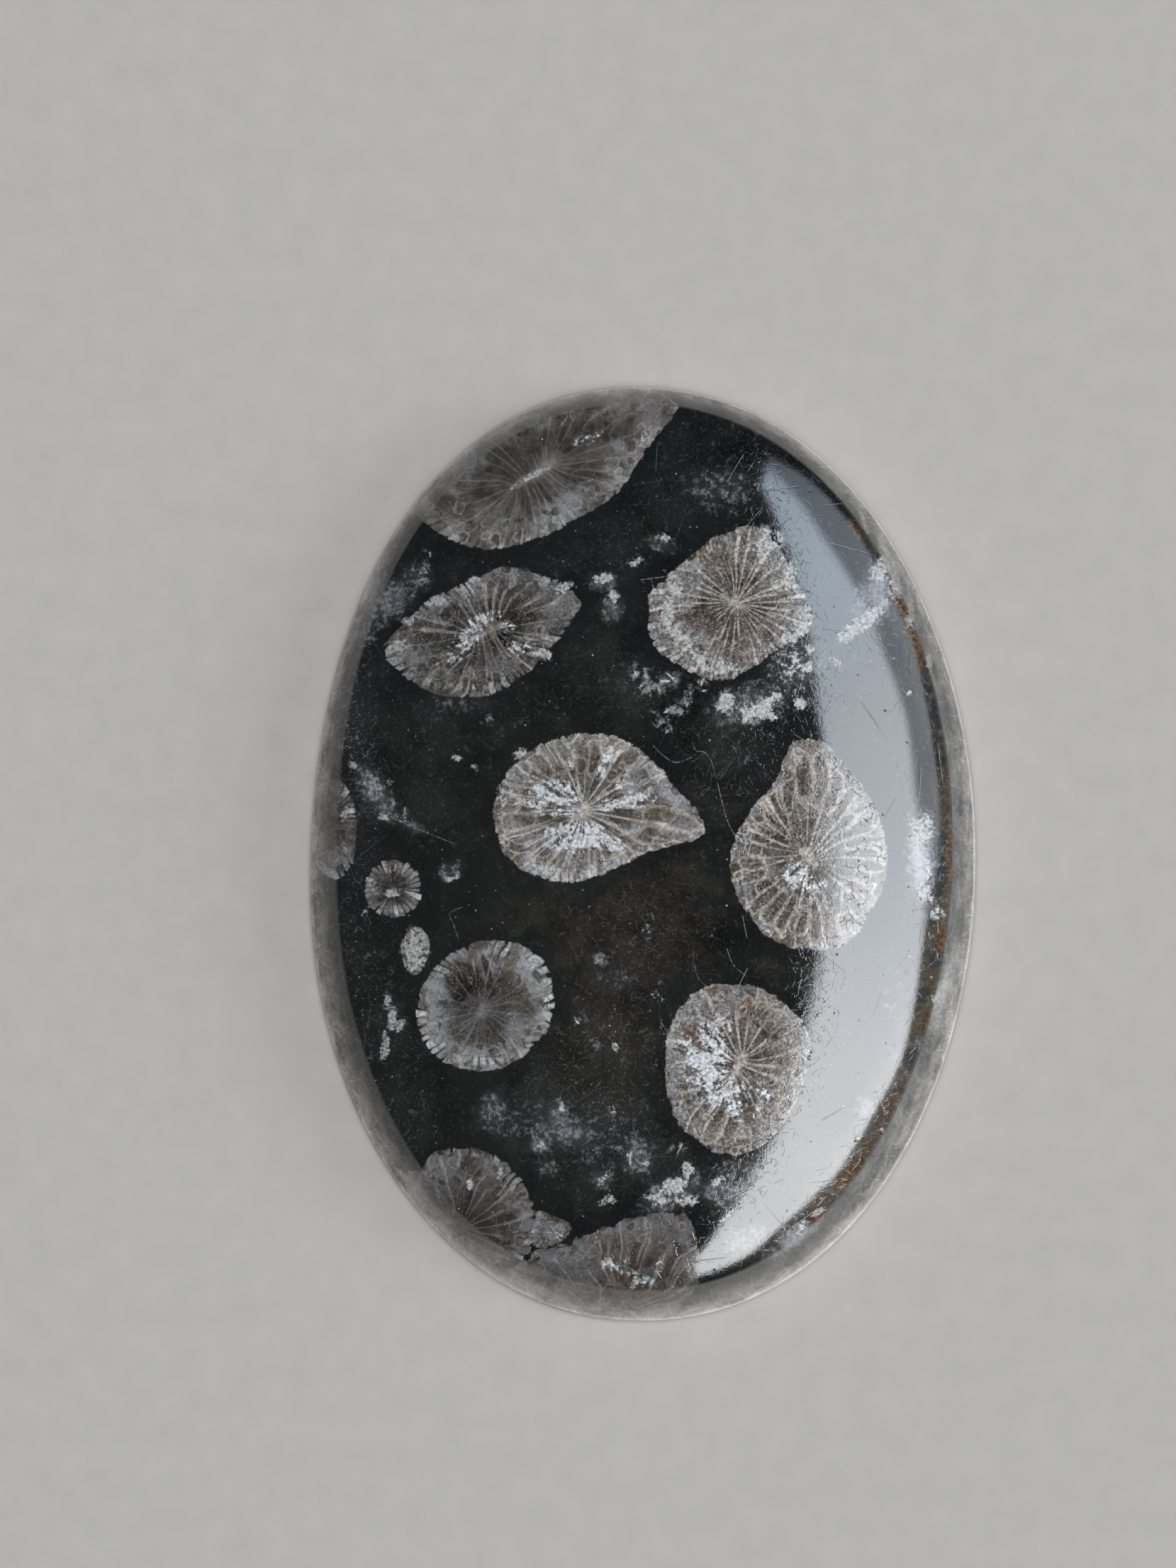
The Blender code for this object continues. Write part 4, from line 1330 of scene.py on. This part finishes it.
    def long_septa(self, bench: CoralBench, count: Value, step: Value) -> Wire:
        """Pale lines of the long septa, which widen outwards, each of its own length and width.

        Args:
            bench: where the nodes go.
            count: the turn round the columella in septa.
            step: distance between two septa here, in millimetres.

        Returns:
            1 on a septum, less on a fainter one.
        """
        (one, two, three), place = bench.draw(count + 0.5, bench.septa, 1.0)
        away = abs(place + (one - 0.5) * 0.45) * step
        wide = (0.006 + bench.out * 0.036) * (0.4 + two) * (0.4 + bench.lined * 0.8)
        end = 0.42 + three * 0.5
        return (away.ease(wide + 0.026, wide - 0.01) * bench.out.ease(end + 0.1, end) * (0.3 + two * 0.7)
                * bench.broad.ease(0.28, 0.46))

    def short_septa(self, bench: CoralBench, count: Value, step: Value) -> Wire:
        """Fainter lines of the short septa, between the long ones and only near the rim.

        Args:
            bench: where the nodes go.
            count: the turn round the columella in septa.
            step: distance between two septa here, in millimetres.

        Returns:
            1 on a septum, less on a fainter one.
        """
        (one, two, _), place = bench.draw(count, bench.septa, 3.0)
        away = abs(place + (two - 0.5) * 0.4) * step
        start = 0.35 + one * 0.5
        return away.ease(0.065, 0.02) * two.ease(0.4, 1.0) * 0.8 * bench.out.ease(start, start + 0.12)

    def bubbles(self, bench: CoralBench, body: Value, filling: Value, zone: Value) -> Wire:
        """Roundish cells of the outer zone: dark, brown or milky discs, some with a pale ring.

        Each is a disc of its own radius round the point of a Voronoi cell.

        Args:
            bench: where the nodes go.
            body: the colour under them.
            filling: colour of the chambers.
            zone: 1 where they are, in the outer zone.

        Returns:
            The colour.
        """
        bend = (bench.coarse - 0.5) * 0.45
        away, colour, _ = bench.cells(bench.vector("ADD", bench.spot, bench.join(bend, bend, 0.0)), 1.75)
        tone, tint, bulk = colour.parts()
        away = away - (0.22 + bulk * 0.26)
        disc = away.ease(0.05, -0.03) * zone
        ring = abs(away).ease(0.11, 0.03) * zone * tint.ease(0.3, 0.7)
        inner = bench.dim(filling, 0.35 + tone * 1.7)
        inner = bench.blend(tint.ease(0.72, 0.85), inner, self.milk)
        body = bench.blend(disc * tone.ease(1.0, 0.6) * 0.75, body, inner)
        return bench.blend(ring * (0.25 + bench.arched * 0.7), body, self.septum)

    def rim_chambers(self, bench: CoralBench, body: Value, filling: Value, across: Value,
                     draws: tuple[Wire, ...]) -> Wire:
        """Long brown chambers between the septa near the rim, rounded at both ends, with pale walls.

        Each is where 4.6 a^2 + b^4 is less than about 1, with a the place across it, from -0.5 to
        0.5, and b the place along it from its middle, over half its length.

        Args:
            bench: where the nodes go.
            body: the colour under them.
            filling: colour of the chambers.
            across: place between two septa, from -0.5 to 0.5.
            draws: three random numbers for each.

        Returns:
            The colour.
        """
        bend = (bench.broad - 0.5) * 0.5
        middle = 0.62 + draws[0] * 0.14 + bend
        half = 0.12 + draws[1] * 0.13
        size = ((bench.out - middle) / half) ** 4.0 + across * across * 4.6
        here = (draws[2] + bench.arched).ease(0.55, 0.95) * bench.arched
        wall = abs(size - 1.1).ease(0.75, 0.2) * here
        tone = 0.55 + draws[0] * 0.8 + (bench.crisp - 0.5) * 0.4
        body = bench.blend(size.ease(1.15, 0.65) * here * 0.85, body, bench.dim(filling, tone))
        return bench.blend(wall * 0.6, body, self.septum)

    def rim_ribs(self, bench: CoralBench, body: Value, count: Value) -> tuple[Wire, Wire]:
        """Ends of the septa at the rim: short pale ribs, two to a septum, with notches between.

        Each has its own width, length in from the rim, and tone, and in some places there are
        none. The rim is set in a little at the notches.

        Args:
            bench: where the nodes go.
            body: the colour under them.
            count: the turn round the columella in septa.

        Returns:
            The colour, and the share at which the rim lies.
        """
        twice = count * 2.0 + (bench.noise(bench.spot, 1.1, 1.0) - 0.5) * 1.1
        (one, two, three), place = bench.draw(twice, bench.septa * 2.0, 5.0)
        off = abs(place)
        half = 0.22 + one * 0.22
        rib = off.ease(half + 0.16, half - 0.1)
        start = 1.0 - (0.18 + two * 0.45) / bench.reach
        here = bench.noise(bench.spot, 0.8, 1.0).ease(0.38, 0.54) * bench.ribbed
        zone = bench.out.ease(start - 0.05, start + 0.04) * here
        bright = three.ease(0.4, 0.95)
        body = bench.blend(zone * (1.0 - rib) * 0.6, body, self.dark)
        rib = rib * zone * (0.5 + bench.crisp * 0.5)
        body = bench.blend(rib * (0.3 + bright * 0.7), body,
                           bench.blend(bright, bench.dim(self.milk, 1.15), self.rib))
        wander = (bench.noise(bench.spot, 2.4, 3.0) - 0.5) * 0.09
        notch = off.ease(half, half + 0.12) * here * 0.11
        swell = (three - 0.6) * here * 0.09
        return body, 0.995 + wander + (swell - notch) / bench.reach

    def dark_stone(self, bench: CoralBench) -> Wire:
        """Colour of the stone between the corallites: near black, mottled and flecked.

        Round each corallite runs a border of clear stone, with a ragged outer edge. Its -X side is painted
        paler, as a painted reflection.

        Args:
            bench: where the nodes go.

        Returns:
            The colour.
        """
        slow = bench.noise(bench.spot, 0.45, 5.0, 0.68).ease(0.25, 0.75)
        ragged = bench.gap + (bench.coarse - 0.5) * 0.9 + (bench.broad - 0.5) * 3.2
        clear = (ragged.ease(1.15, 0.3) * 0.8).most(bench.gloom)
        body = bench.blend(bench.warm_here, self.dark, self.dark_warm)
        # bench.left paints the -X side of the dark stone paler: a painted reflection of light from that
        # side. The long mist mark on that flank adds to the same painted reflection.
        body = bench.dim(body, 0.2 + slow * 0.95 + bench.crisp * 0.2 + bench.mist * 0.3 + bench.left * 0.38)
        body = bench.blend(clear * 0.72, body, self.clear)
        seen = (1.0 - clear * 0.75) * (0.55 + bench.mist * 0.9 + bench.rough_here * 0.8)
        curls = bench.worms(2.2, 0.04, 0.6, 3.0).most(bench.worms(3.6, 0.05, 0.64, 5.0))
        fleck = bench.noise(bench.spot, 9.0, 1.0).ease(0.63, 0.74)
        body = bench.blend((fleck * 0.6).most(curls) * seen * 0.24, body, self.milk)
        body = bench.blend(bench.long_strokes * seen * 0.14, body, self.milk)
        patch = bench.powder_here + (bench.coarse - 0.5) * 1.6 + (bench.lumpy - 0.5)
        hairs = bench.scratches(0.5, 0.016, 31.0).most(bench.scratches(0.8, 0.018, 44.0))
        streaks = hairs * bench.grain.ease(0.28, 0.42) * 1.7 + bench.grain.ease(0.52, 0.66) * 0.12 + 0.03
        streaks = streaks * bench.powder_here.ease(0.02, 0.25) * patch.ease(0.25, 0.8)
        strokes = streaks.most(bench.strokes * seen * 0.045)
        body = bench.blend(strokes, body, bench.dim(self.powder, 0.75))
        body = bench.blend(bench.cloud_here.ease(0.0, 1.0) * 0.22, body, self.milk)
        cloud = (bench.cloud_here + (bench.coarse - 0.5) * 1.7 + (bench.lumpy - 0.5) * 1.3
                 + (bench.grain - 0.5) * 1.5)
        cloud = cloud.ease(0.2, 1.25) * bench.cloud_here.ease(0.0, 0.35)
        tone = 0.5 + bench.crisp * 0.8 + bench.cloud_here.ease(0.9, 1.6) * 0.9
        return bench.blend(cloud * 0.9, body, bench.dim(self.milk, tone))

    def surface_marks(self, bench: CoralBench, colour: Value, dust: Wire) -> tuple[Wire, Wire]:
        """Lay the powder, crystals, stains, specks, scratches and fibres over the colour.

        Args:
            bench: where the nodes go.
            colour: what lies under them.
            dust: how thick the powder is.

        Returns:
            The colour, and how gritty the surface is, from 0 to 1.
        """
        grey = (bench.broad + bench.low * 0.14).ease(0.54, 0.44)
        brown = bench.blend(grey, self.strip_brown, self.strip_grey)
        tan = (bench.coarse + bench.lumpy * 0.4 + bench.low * 0.14).ease(0.74, 0.92)
        brown = bench.blend(tan * 0.7, brown, self.outer)
        thin = bench.cloud_here.ease(1.2, 0.4)
        colour = bench.blend(bench.strip * thin * 0.94, colour, bench.dim(brown, 0.7 + bench.crisp * 0.5))
        colour = bench.blend(bench.strokes * bench.strip * 0.12, colour, self.crystal)
        lumps = bench.lumps * bench.lump
        bright = 0.66 + bench.crisp * 0.42 + lumps * 0.22
        cover = dust * bench.level(bench.out.ease(1.02, 0.98), 0.25, 0.9)
        colour = bench.blend(cover, colour, bench.dim(self.powder, bright))
        crystal = bench.crystal_here + (bench.coarse - 0.5) * 1.8 + (bench.grain - 0.5) * 1.6
        crystal = crystal.ease(0.25, 0.75) * bench.crystal_here.ease(0.05, 0.4)
        tone = 0.3 + lumps * 0.2 + bench.crisp * 0.65
        colour = bench.blend(crystal * 0.88, colour, bench.dim(self.crystal, tone))
        rust = (bench.rust_here + bench.coarse * 0.9).ease(0.7, 1.25)
        stain = bench.blend(bench.grain.ease(0.45, 0.62), self.rust, self.rust_bright)
        colour = bench.blend(rust * 0.8, colour, stain)
        colour = bench.blend(bench.specks(1.6, 0.94, 0.055) * 0.6, colour, self.crystal)
        colour = bench.blend(bench.specks(4.0, 0.97, 0.13) * 0.28, colour, self.crystal)
        side, past, _ = bench.stored("fibre")
        fibre = abs(side).ease(0.026, 0.006) * past.ease(0.05, -0.02) * bench.grain.ease(0.3, 0.62)
        colour = bench.blend(fibre * 0.3, colour, self.powder)
        return colour, (dust * 0.8).most(crystal)

    def relief(self, bench: CoralBench) -> Wire:
        """Height of the surface: grains, cracks, pits, and the scratches that the grinding left.

        Args:
            bench: where the nodes go.

        Returns:
            The height in millimetres.
        """
        deep = 0.001 + bench.rough_here * 0.0022
        holes = bench.lumpy.ease(0.62, 0.7) * bench.rough_here
        grit = bench.powder_here.most(bench.crystal_here).ease(0.3, 0.8)
        fine = 0.001 + bench.coral_here * bench.grainy * 0.006
        split = bench.rough_here * -0.014 - 0.008
        height = bench.grain * fine + grit * bench.lumps * 0.007 + bench.crack * bench.coral_here * split
        height = height - bench.strokes * deep + bench.rough_here * bench.hatch * 0.002
        height = height + bench.rough_here * bench.coarse * 0.006 - holes * 0.006
        return height - bench.pits * 0.012 - bench.long_strokes * 0.003

    def ground_faces(self, bench: CoralBench, colour: Value, inside: Value,
                     grit: Value) -> tuple[Wire, Wire]:
        """Dull the wall and the base, which are ground and not polished.

        Args:
            bench: where the nodes go.
            colour: the stone's colour.
            inside: 1 in a corallite.
            grit: how gritty the surface is.

        Returns:
            The colour and the roughness.
        """
        laps = bench.noise(bench.vector("MULTIPLY", bench.spot, (0.9, 0.9, 2.6)), 1.0, 3.0, 0.7, solid=True)
        lines = bench.noise(bench.vector("MULTIPLY", bench.spot, (2.2, 9.0, 1.0)), 1.0, 3.0, 0.6)
        outward = bench.high.ease(2.6, 0.3)
        # painted highlight: a pale line along the foot of the wall, below 0.8 mm, fainter on the -X side,
        # where the stone is in shade
        painted_foot_highlight = bench.high.ease(0.8, 0.45) * (0.75 - bench.left * 0.45)
        patches = bench.noise(bench.spot, 0.9, 3.0, 0.7, solid=True)
        bright = (laps.ease(0.3, 0.7) * 0.24 + 0.08 + patches.ease(0.3, 0.7) * 0.5
                  + bench.strokes * 0.45 + bench.crisp * 0.15 + bench.cloud_here * 0.3
                  + bench.crystal_here * 0.35 + bench.ends * 0.26 + painted_foot_highlight)
        seen = bench.left.most(bench.ends)
        cover = bench.level(seen, 0.58 + outward * 0.32, 0.18 + outward * 0.74)
        haze = bench.dim(self.haze, bright * (0.6 + outward * 0.55))
        colour = bench.blend(bench.wall * cover, colour, haze)
        under = bench.dim(self.haze, 0.2 + lines * 0.7)
        colour = bench.blend(bench.base * 0.3, colour, under)
        rough = (self.polish + inside * bench.grain * bench.grainy * 0.08 + bench.rough_here * 0.05
                 + bench.pits * 0.4)
        rough = bench.level(grit * 0.8, rough, 0.5)
        rough = bench.level(bench.wall, rough, self.satin + laps * 0.2)
        rough = bench.level(bench.base, rough, self.satin + lines * 0.2)
        return colour, rough


@dataclass(frozen=True)
class FloorFinish:
    """Plain pale paper-like floor.

    Attributes:
        colour: its colour.
        mottle: how far its fine mottle goes below and above the colour.
        grains: grains of the mottle in a metre.
    """

    colour: Colour = (0.42, 0.415, 0.405)
    mottle: float = 0.06
    grains: float = 900.0

    def build(self) -> bpy.types.Material:
        """Make the material: the colour with a faint fine mottle."""
        bench = NodeBench("pale_floor")
        mottle = bench.noise(bench.place(), self.grains, 3.0)
        shade = bench.dim(self.colour, (1 - self.mottle) + mottle * (2 * self.mottle))
        bench.feed(bench.shader, {"Base Color": shade, "Roughness": 0.9, "Specular IOR Level": 0.2})
        return bench.material


@dataclass
class Studio:
    """Floor, camera and lights round the stone.

    Attributes:
        aim: point that the camera is straight above, in millimetres.
        distance: from the camera to the floor, in metres.
        frame_height: what the picture shows along the stone, in millimetres.
        sensor: the camera's sensor height, in millimetres.
        floor_half: half the floor's side, in metres.
        room: the surrounding light.
        softboxes: name, place, side and power of each light that no reflection shows.
        top_edge: the window softbox's upper edge, as azimuths from +X and elevations in degrees.
        bottom_edge: its lower edge.
        strip_edge: the upper edge of the dim strip along its lower edge.
        brightness: how bright it is, by azimuth.
        blueness: how blue it is, by azimuth.
        dim_share: how bright the dim strip is, as a share of the rest.
        extra_blue: how much bluer it is.
        strip_fade: degrees over which it passes into the rest.
        edge_fade: degrees over which the window fades at its upper edge.
        window_span: azimuths where it starts and ends.
        window_steps: points along it and up it.
        window_distance: how far it stands from the stone, in metres.
        window_glow: its radiance.
    """

    aim: Pair = (-2.07, 2.64)
    distance: float = 0.6
    frame_height: float = 2212 / 37.5
    sensor: float = 36.0
    floor_half: float = 4.0
    room: Colour = (0.03, 0.032, 0.035)
    softboxes: tuple[tuple, ...] = (
        ("fill_light", (0.0, 0.0, 0.9), 0.7, 8.4), ("side_light", (0.66, -0.05, 0.42), 0.35, 1.9))
    top_edge: Table = (
        (-80, 24), (-70, 32), (-57, 38.5), (-43, 41), (-26, 46), (21, 46), (35, 42), (56, 32), (60, 30))
    bottom_edge: Table = (
        (-80, 20), (-65, 19), (-56, 20.2), (-47, 18.9), (-37, 15.4), (-29, 13.4), (-24, 10.5), (-20, 8.7),
        (-9, 10.5), (-3, 7.5), (1, 5.2), (7, 6.5), (14, 7.2), (20, 6.5), (30, 10.5), (38, 13), (46, 15.5),
        (53, 18.5), (60, 22))
    strip_edge: Table = (
        (-60, 17), (-40, 13), (-24, 9), (-14, 10.5), (-3, 12.5), (4, 17), (13, 17.3), (21, 20.5),
        (31, 22.9), (40, 25), (60, 24))
    brightness: Table = ((-70, 1.26), (-40, 1.32), (-20, 1.2), (0, 0.97), (20, 0.82), (40, 0.8), (58, 0.62))
    blueness: Table = ((-45, 0.015), (5, 0.075), (55, 0.15))
    dim_share: float = 0.32
    extra_blue: float = 0.03
    strip_fade: float = 4.0
    edge_fade: float = 0.8
    window_span: Pair = (-78.0, 58.0)
    window_steps: tuple[int, int] = (140, 50)
    window_distance: float = 0.5
    window_glow: float = 9.5

    def build(self) -> None:
        """Make the floor, the camera, the lights and the surrounding light."""
        self.add_floor()
        self.add_camera()
        self.add_window()
        for softbox in self.softboxes:
            self.add_softbox(*softbox)
        world = bpy.data.worlds.new("dim_room")
        world.use_nodes = True
        world.node_tree.nodes["Background"].inputs[0].default_value = (*self.room, 1.0)
        bpy.context.scene.world = world
        bpy.context.scene.view_settings.view_transform = "Standard"

    def add_floor(self) -> None:
        """A wide flat floor under the stone."""
        mesh = bpy.data.meshes.new("floor")
        corners = [(-1, -1, 0), (1, -1, 0), (1, 1, 0), (-1, 1, 0)]
        mesh.from_pydata((np.array(corners) * self.floor_half).tolist(), [], [(0, 1, 2, 3)])
        mesh.materials.append(FloorFinish().build())
        add_object("floor", mesh)

    def add_camera(self) -> None:
        """A camera that looks straight down, with the stone's length up the picture."""
        data = bpy.data.cameras.new("camera")
        data.sensor_fit = "VERTICAL"
        data.sensor_height = self.sensor
        data.lens = self.sensor * self.distance / (self.frame_height * METRES)
        camera = add_object("camera", data)
        camera.location = (self.aim[0] * METRES, self.aim[1] * METRES, self.distance)
        bpy.context.scene.camera = camera

    def window_grid(self) -> tuple[np.ndarray, np.ndarray]:
        """The window's points and colours: a curved sheet on a sphere round the stone.

        Its two parameters are the azimuth and the share of the way from its lower edge to its
        upper one. It fades at its upper edge, and has a dimmer, bluish strip along its lower one.

        Returns:
            Arrays of azimuths, shares and x, y, z, or red, green, blue and alpha.
        """
        azimuth = np.linspace(*self.window_span, self.window_steps[0])[:, None]
        share = np.linspace(0.0, 1.0, self.window_steps[1])[None, :]
        low, high, split, bright, blue = (read_table(table, azimuth) for table in (
            self.bottom_edge, self.top_edge, self.strip_edge, self.brightness, self.blueness))
        lift = low + (high - low) * share
        turn, up = np.radians(azimuth + 0 * lift), np.radians(lift)
        points = self.window_distance * np.stack(
            (np.cos(up) * np.cos(turn), np.cos(up) * np.sin(turn), np.sin(up)), axis=2)
        ease = np.clip((lift - split) / self.strip_fade + 0.5, 0, 1)
        ease = ease * ease * (3 - 2 * ease)
        fade = np.clip((high - lift) / self.edge_fade, 0, 1)
        glow = bright * (self.dim_share + (1 - self.dim_share) * ease) * fade
        blue = blue + self.extra_blue * (1 - ease)
        tint = 1 + blue[..., None] * np.array((-1.0, 0.0, 1.0))
        return points, np.dstack((glow[..., None] * tint, np.ones_like(lift)))

    def add_window(self) -> None:
        """The window softbox, which shows in the polish only."""
        points, colours = self.window_grid()
        mesh = bpy.data.meshes.new("window_softbox")
        corner = np.arange(points[..., 0].size).reshape(self.window_steps)
        faces = np.stack((corner[:-1, :-1], corner[:-1, 1:], corner[1:, 1:], corner[1:, :-1]), axis=2)
        mesh.from_pydata(points.reshape(-1, 3).tolist(), [], faces.reshape(-1, 4).tolist())
        layer = mesh.color_attributes.new("glow", "FLOAT_COLOR", "POINT")
        layer.data.foreach_set("color", colours.astype(np.float32).ravel())
        bench = NodeBench("window_light")
        bench.nodes.remove(bench.shader)
        light = bench.add("Emission", {
            "Color": bench.add("Attribute", {}, attribute_name="glow")[0], "Strength": self.window_glow})
        bench.feed(bench.nodes["Material Output"], {"Surface": light[0]})
        mesh.materials.append(bench.material)
        window = add_object("window_softbox", mesh)
        window.visible_camera = window.visible_shadow = window.visible_diffuse = False

    def add_softbox(self, name: str, place: tuple[float, float, float], size: float,
                    power: float) -> None:
        """A square light that faces the stone and shows in no reflection.

        Args:
            name: its name.
            place: its middle, in metres.
            size: its side, in metres.
            power: its power, in watts.
        """
        data = bpy.data.lights.new(name, "AREA")
        data.size = size
        data.energy = power
        light = add_object(name, data)
        light.location = place
        away = math.atan2(math.hypot(place[0], place[1]), place[2])
        light.rotation_euler = (0.0, away, math.atan2(place[1], place[0]))
        light.visible_glossy = light.visible_camera = False


def main() -> None:
    """Build the stone and the studio, and report each piece."""
    logging.basicConfig(level=logging.INFO, format="%(name)s: %(message)s")
    low, high = (np.array(corner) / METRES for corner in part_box(NODE))
    surface = StoneSurface(*(high - low))
    log.info("surface: %d rings of %d points", len(surface.points), surface.turns)
    stone = Cabochon(surface).build()
    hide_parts(NODE)
    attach(stone, BODY)
    log.info("%s: %d faces, %d corallites", stone.name, len(stone.data.polygons), len(CORALLITES))
    Studio().build()
    log.info("studio: floor, camera and lights")


if __name__ == "__main__":
    main()
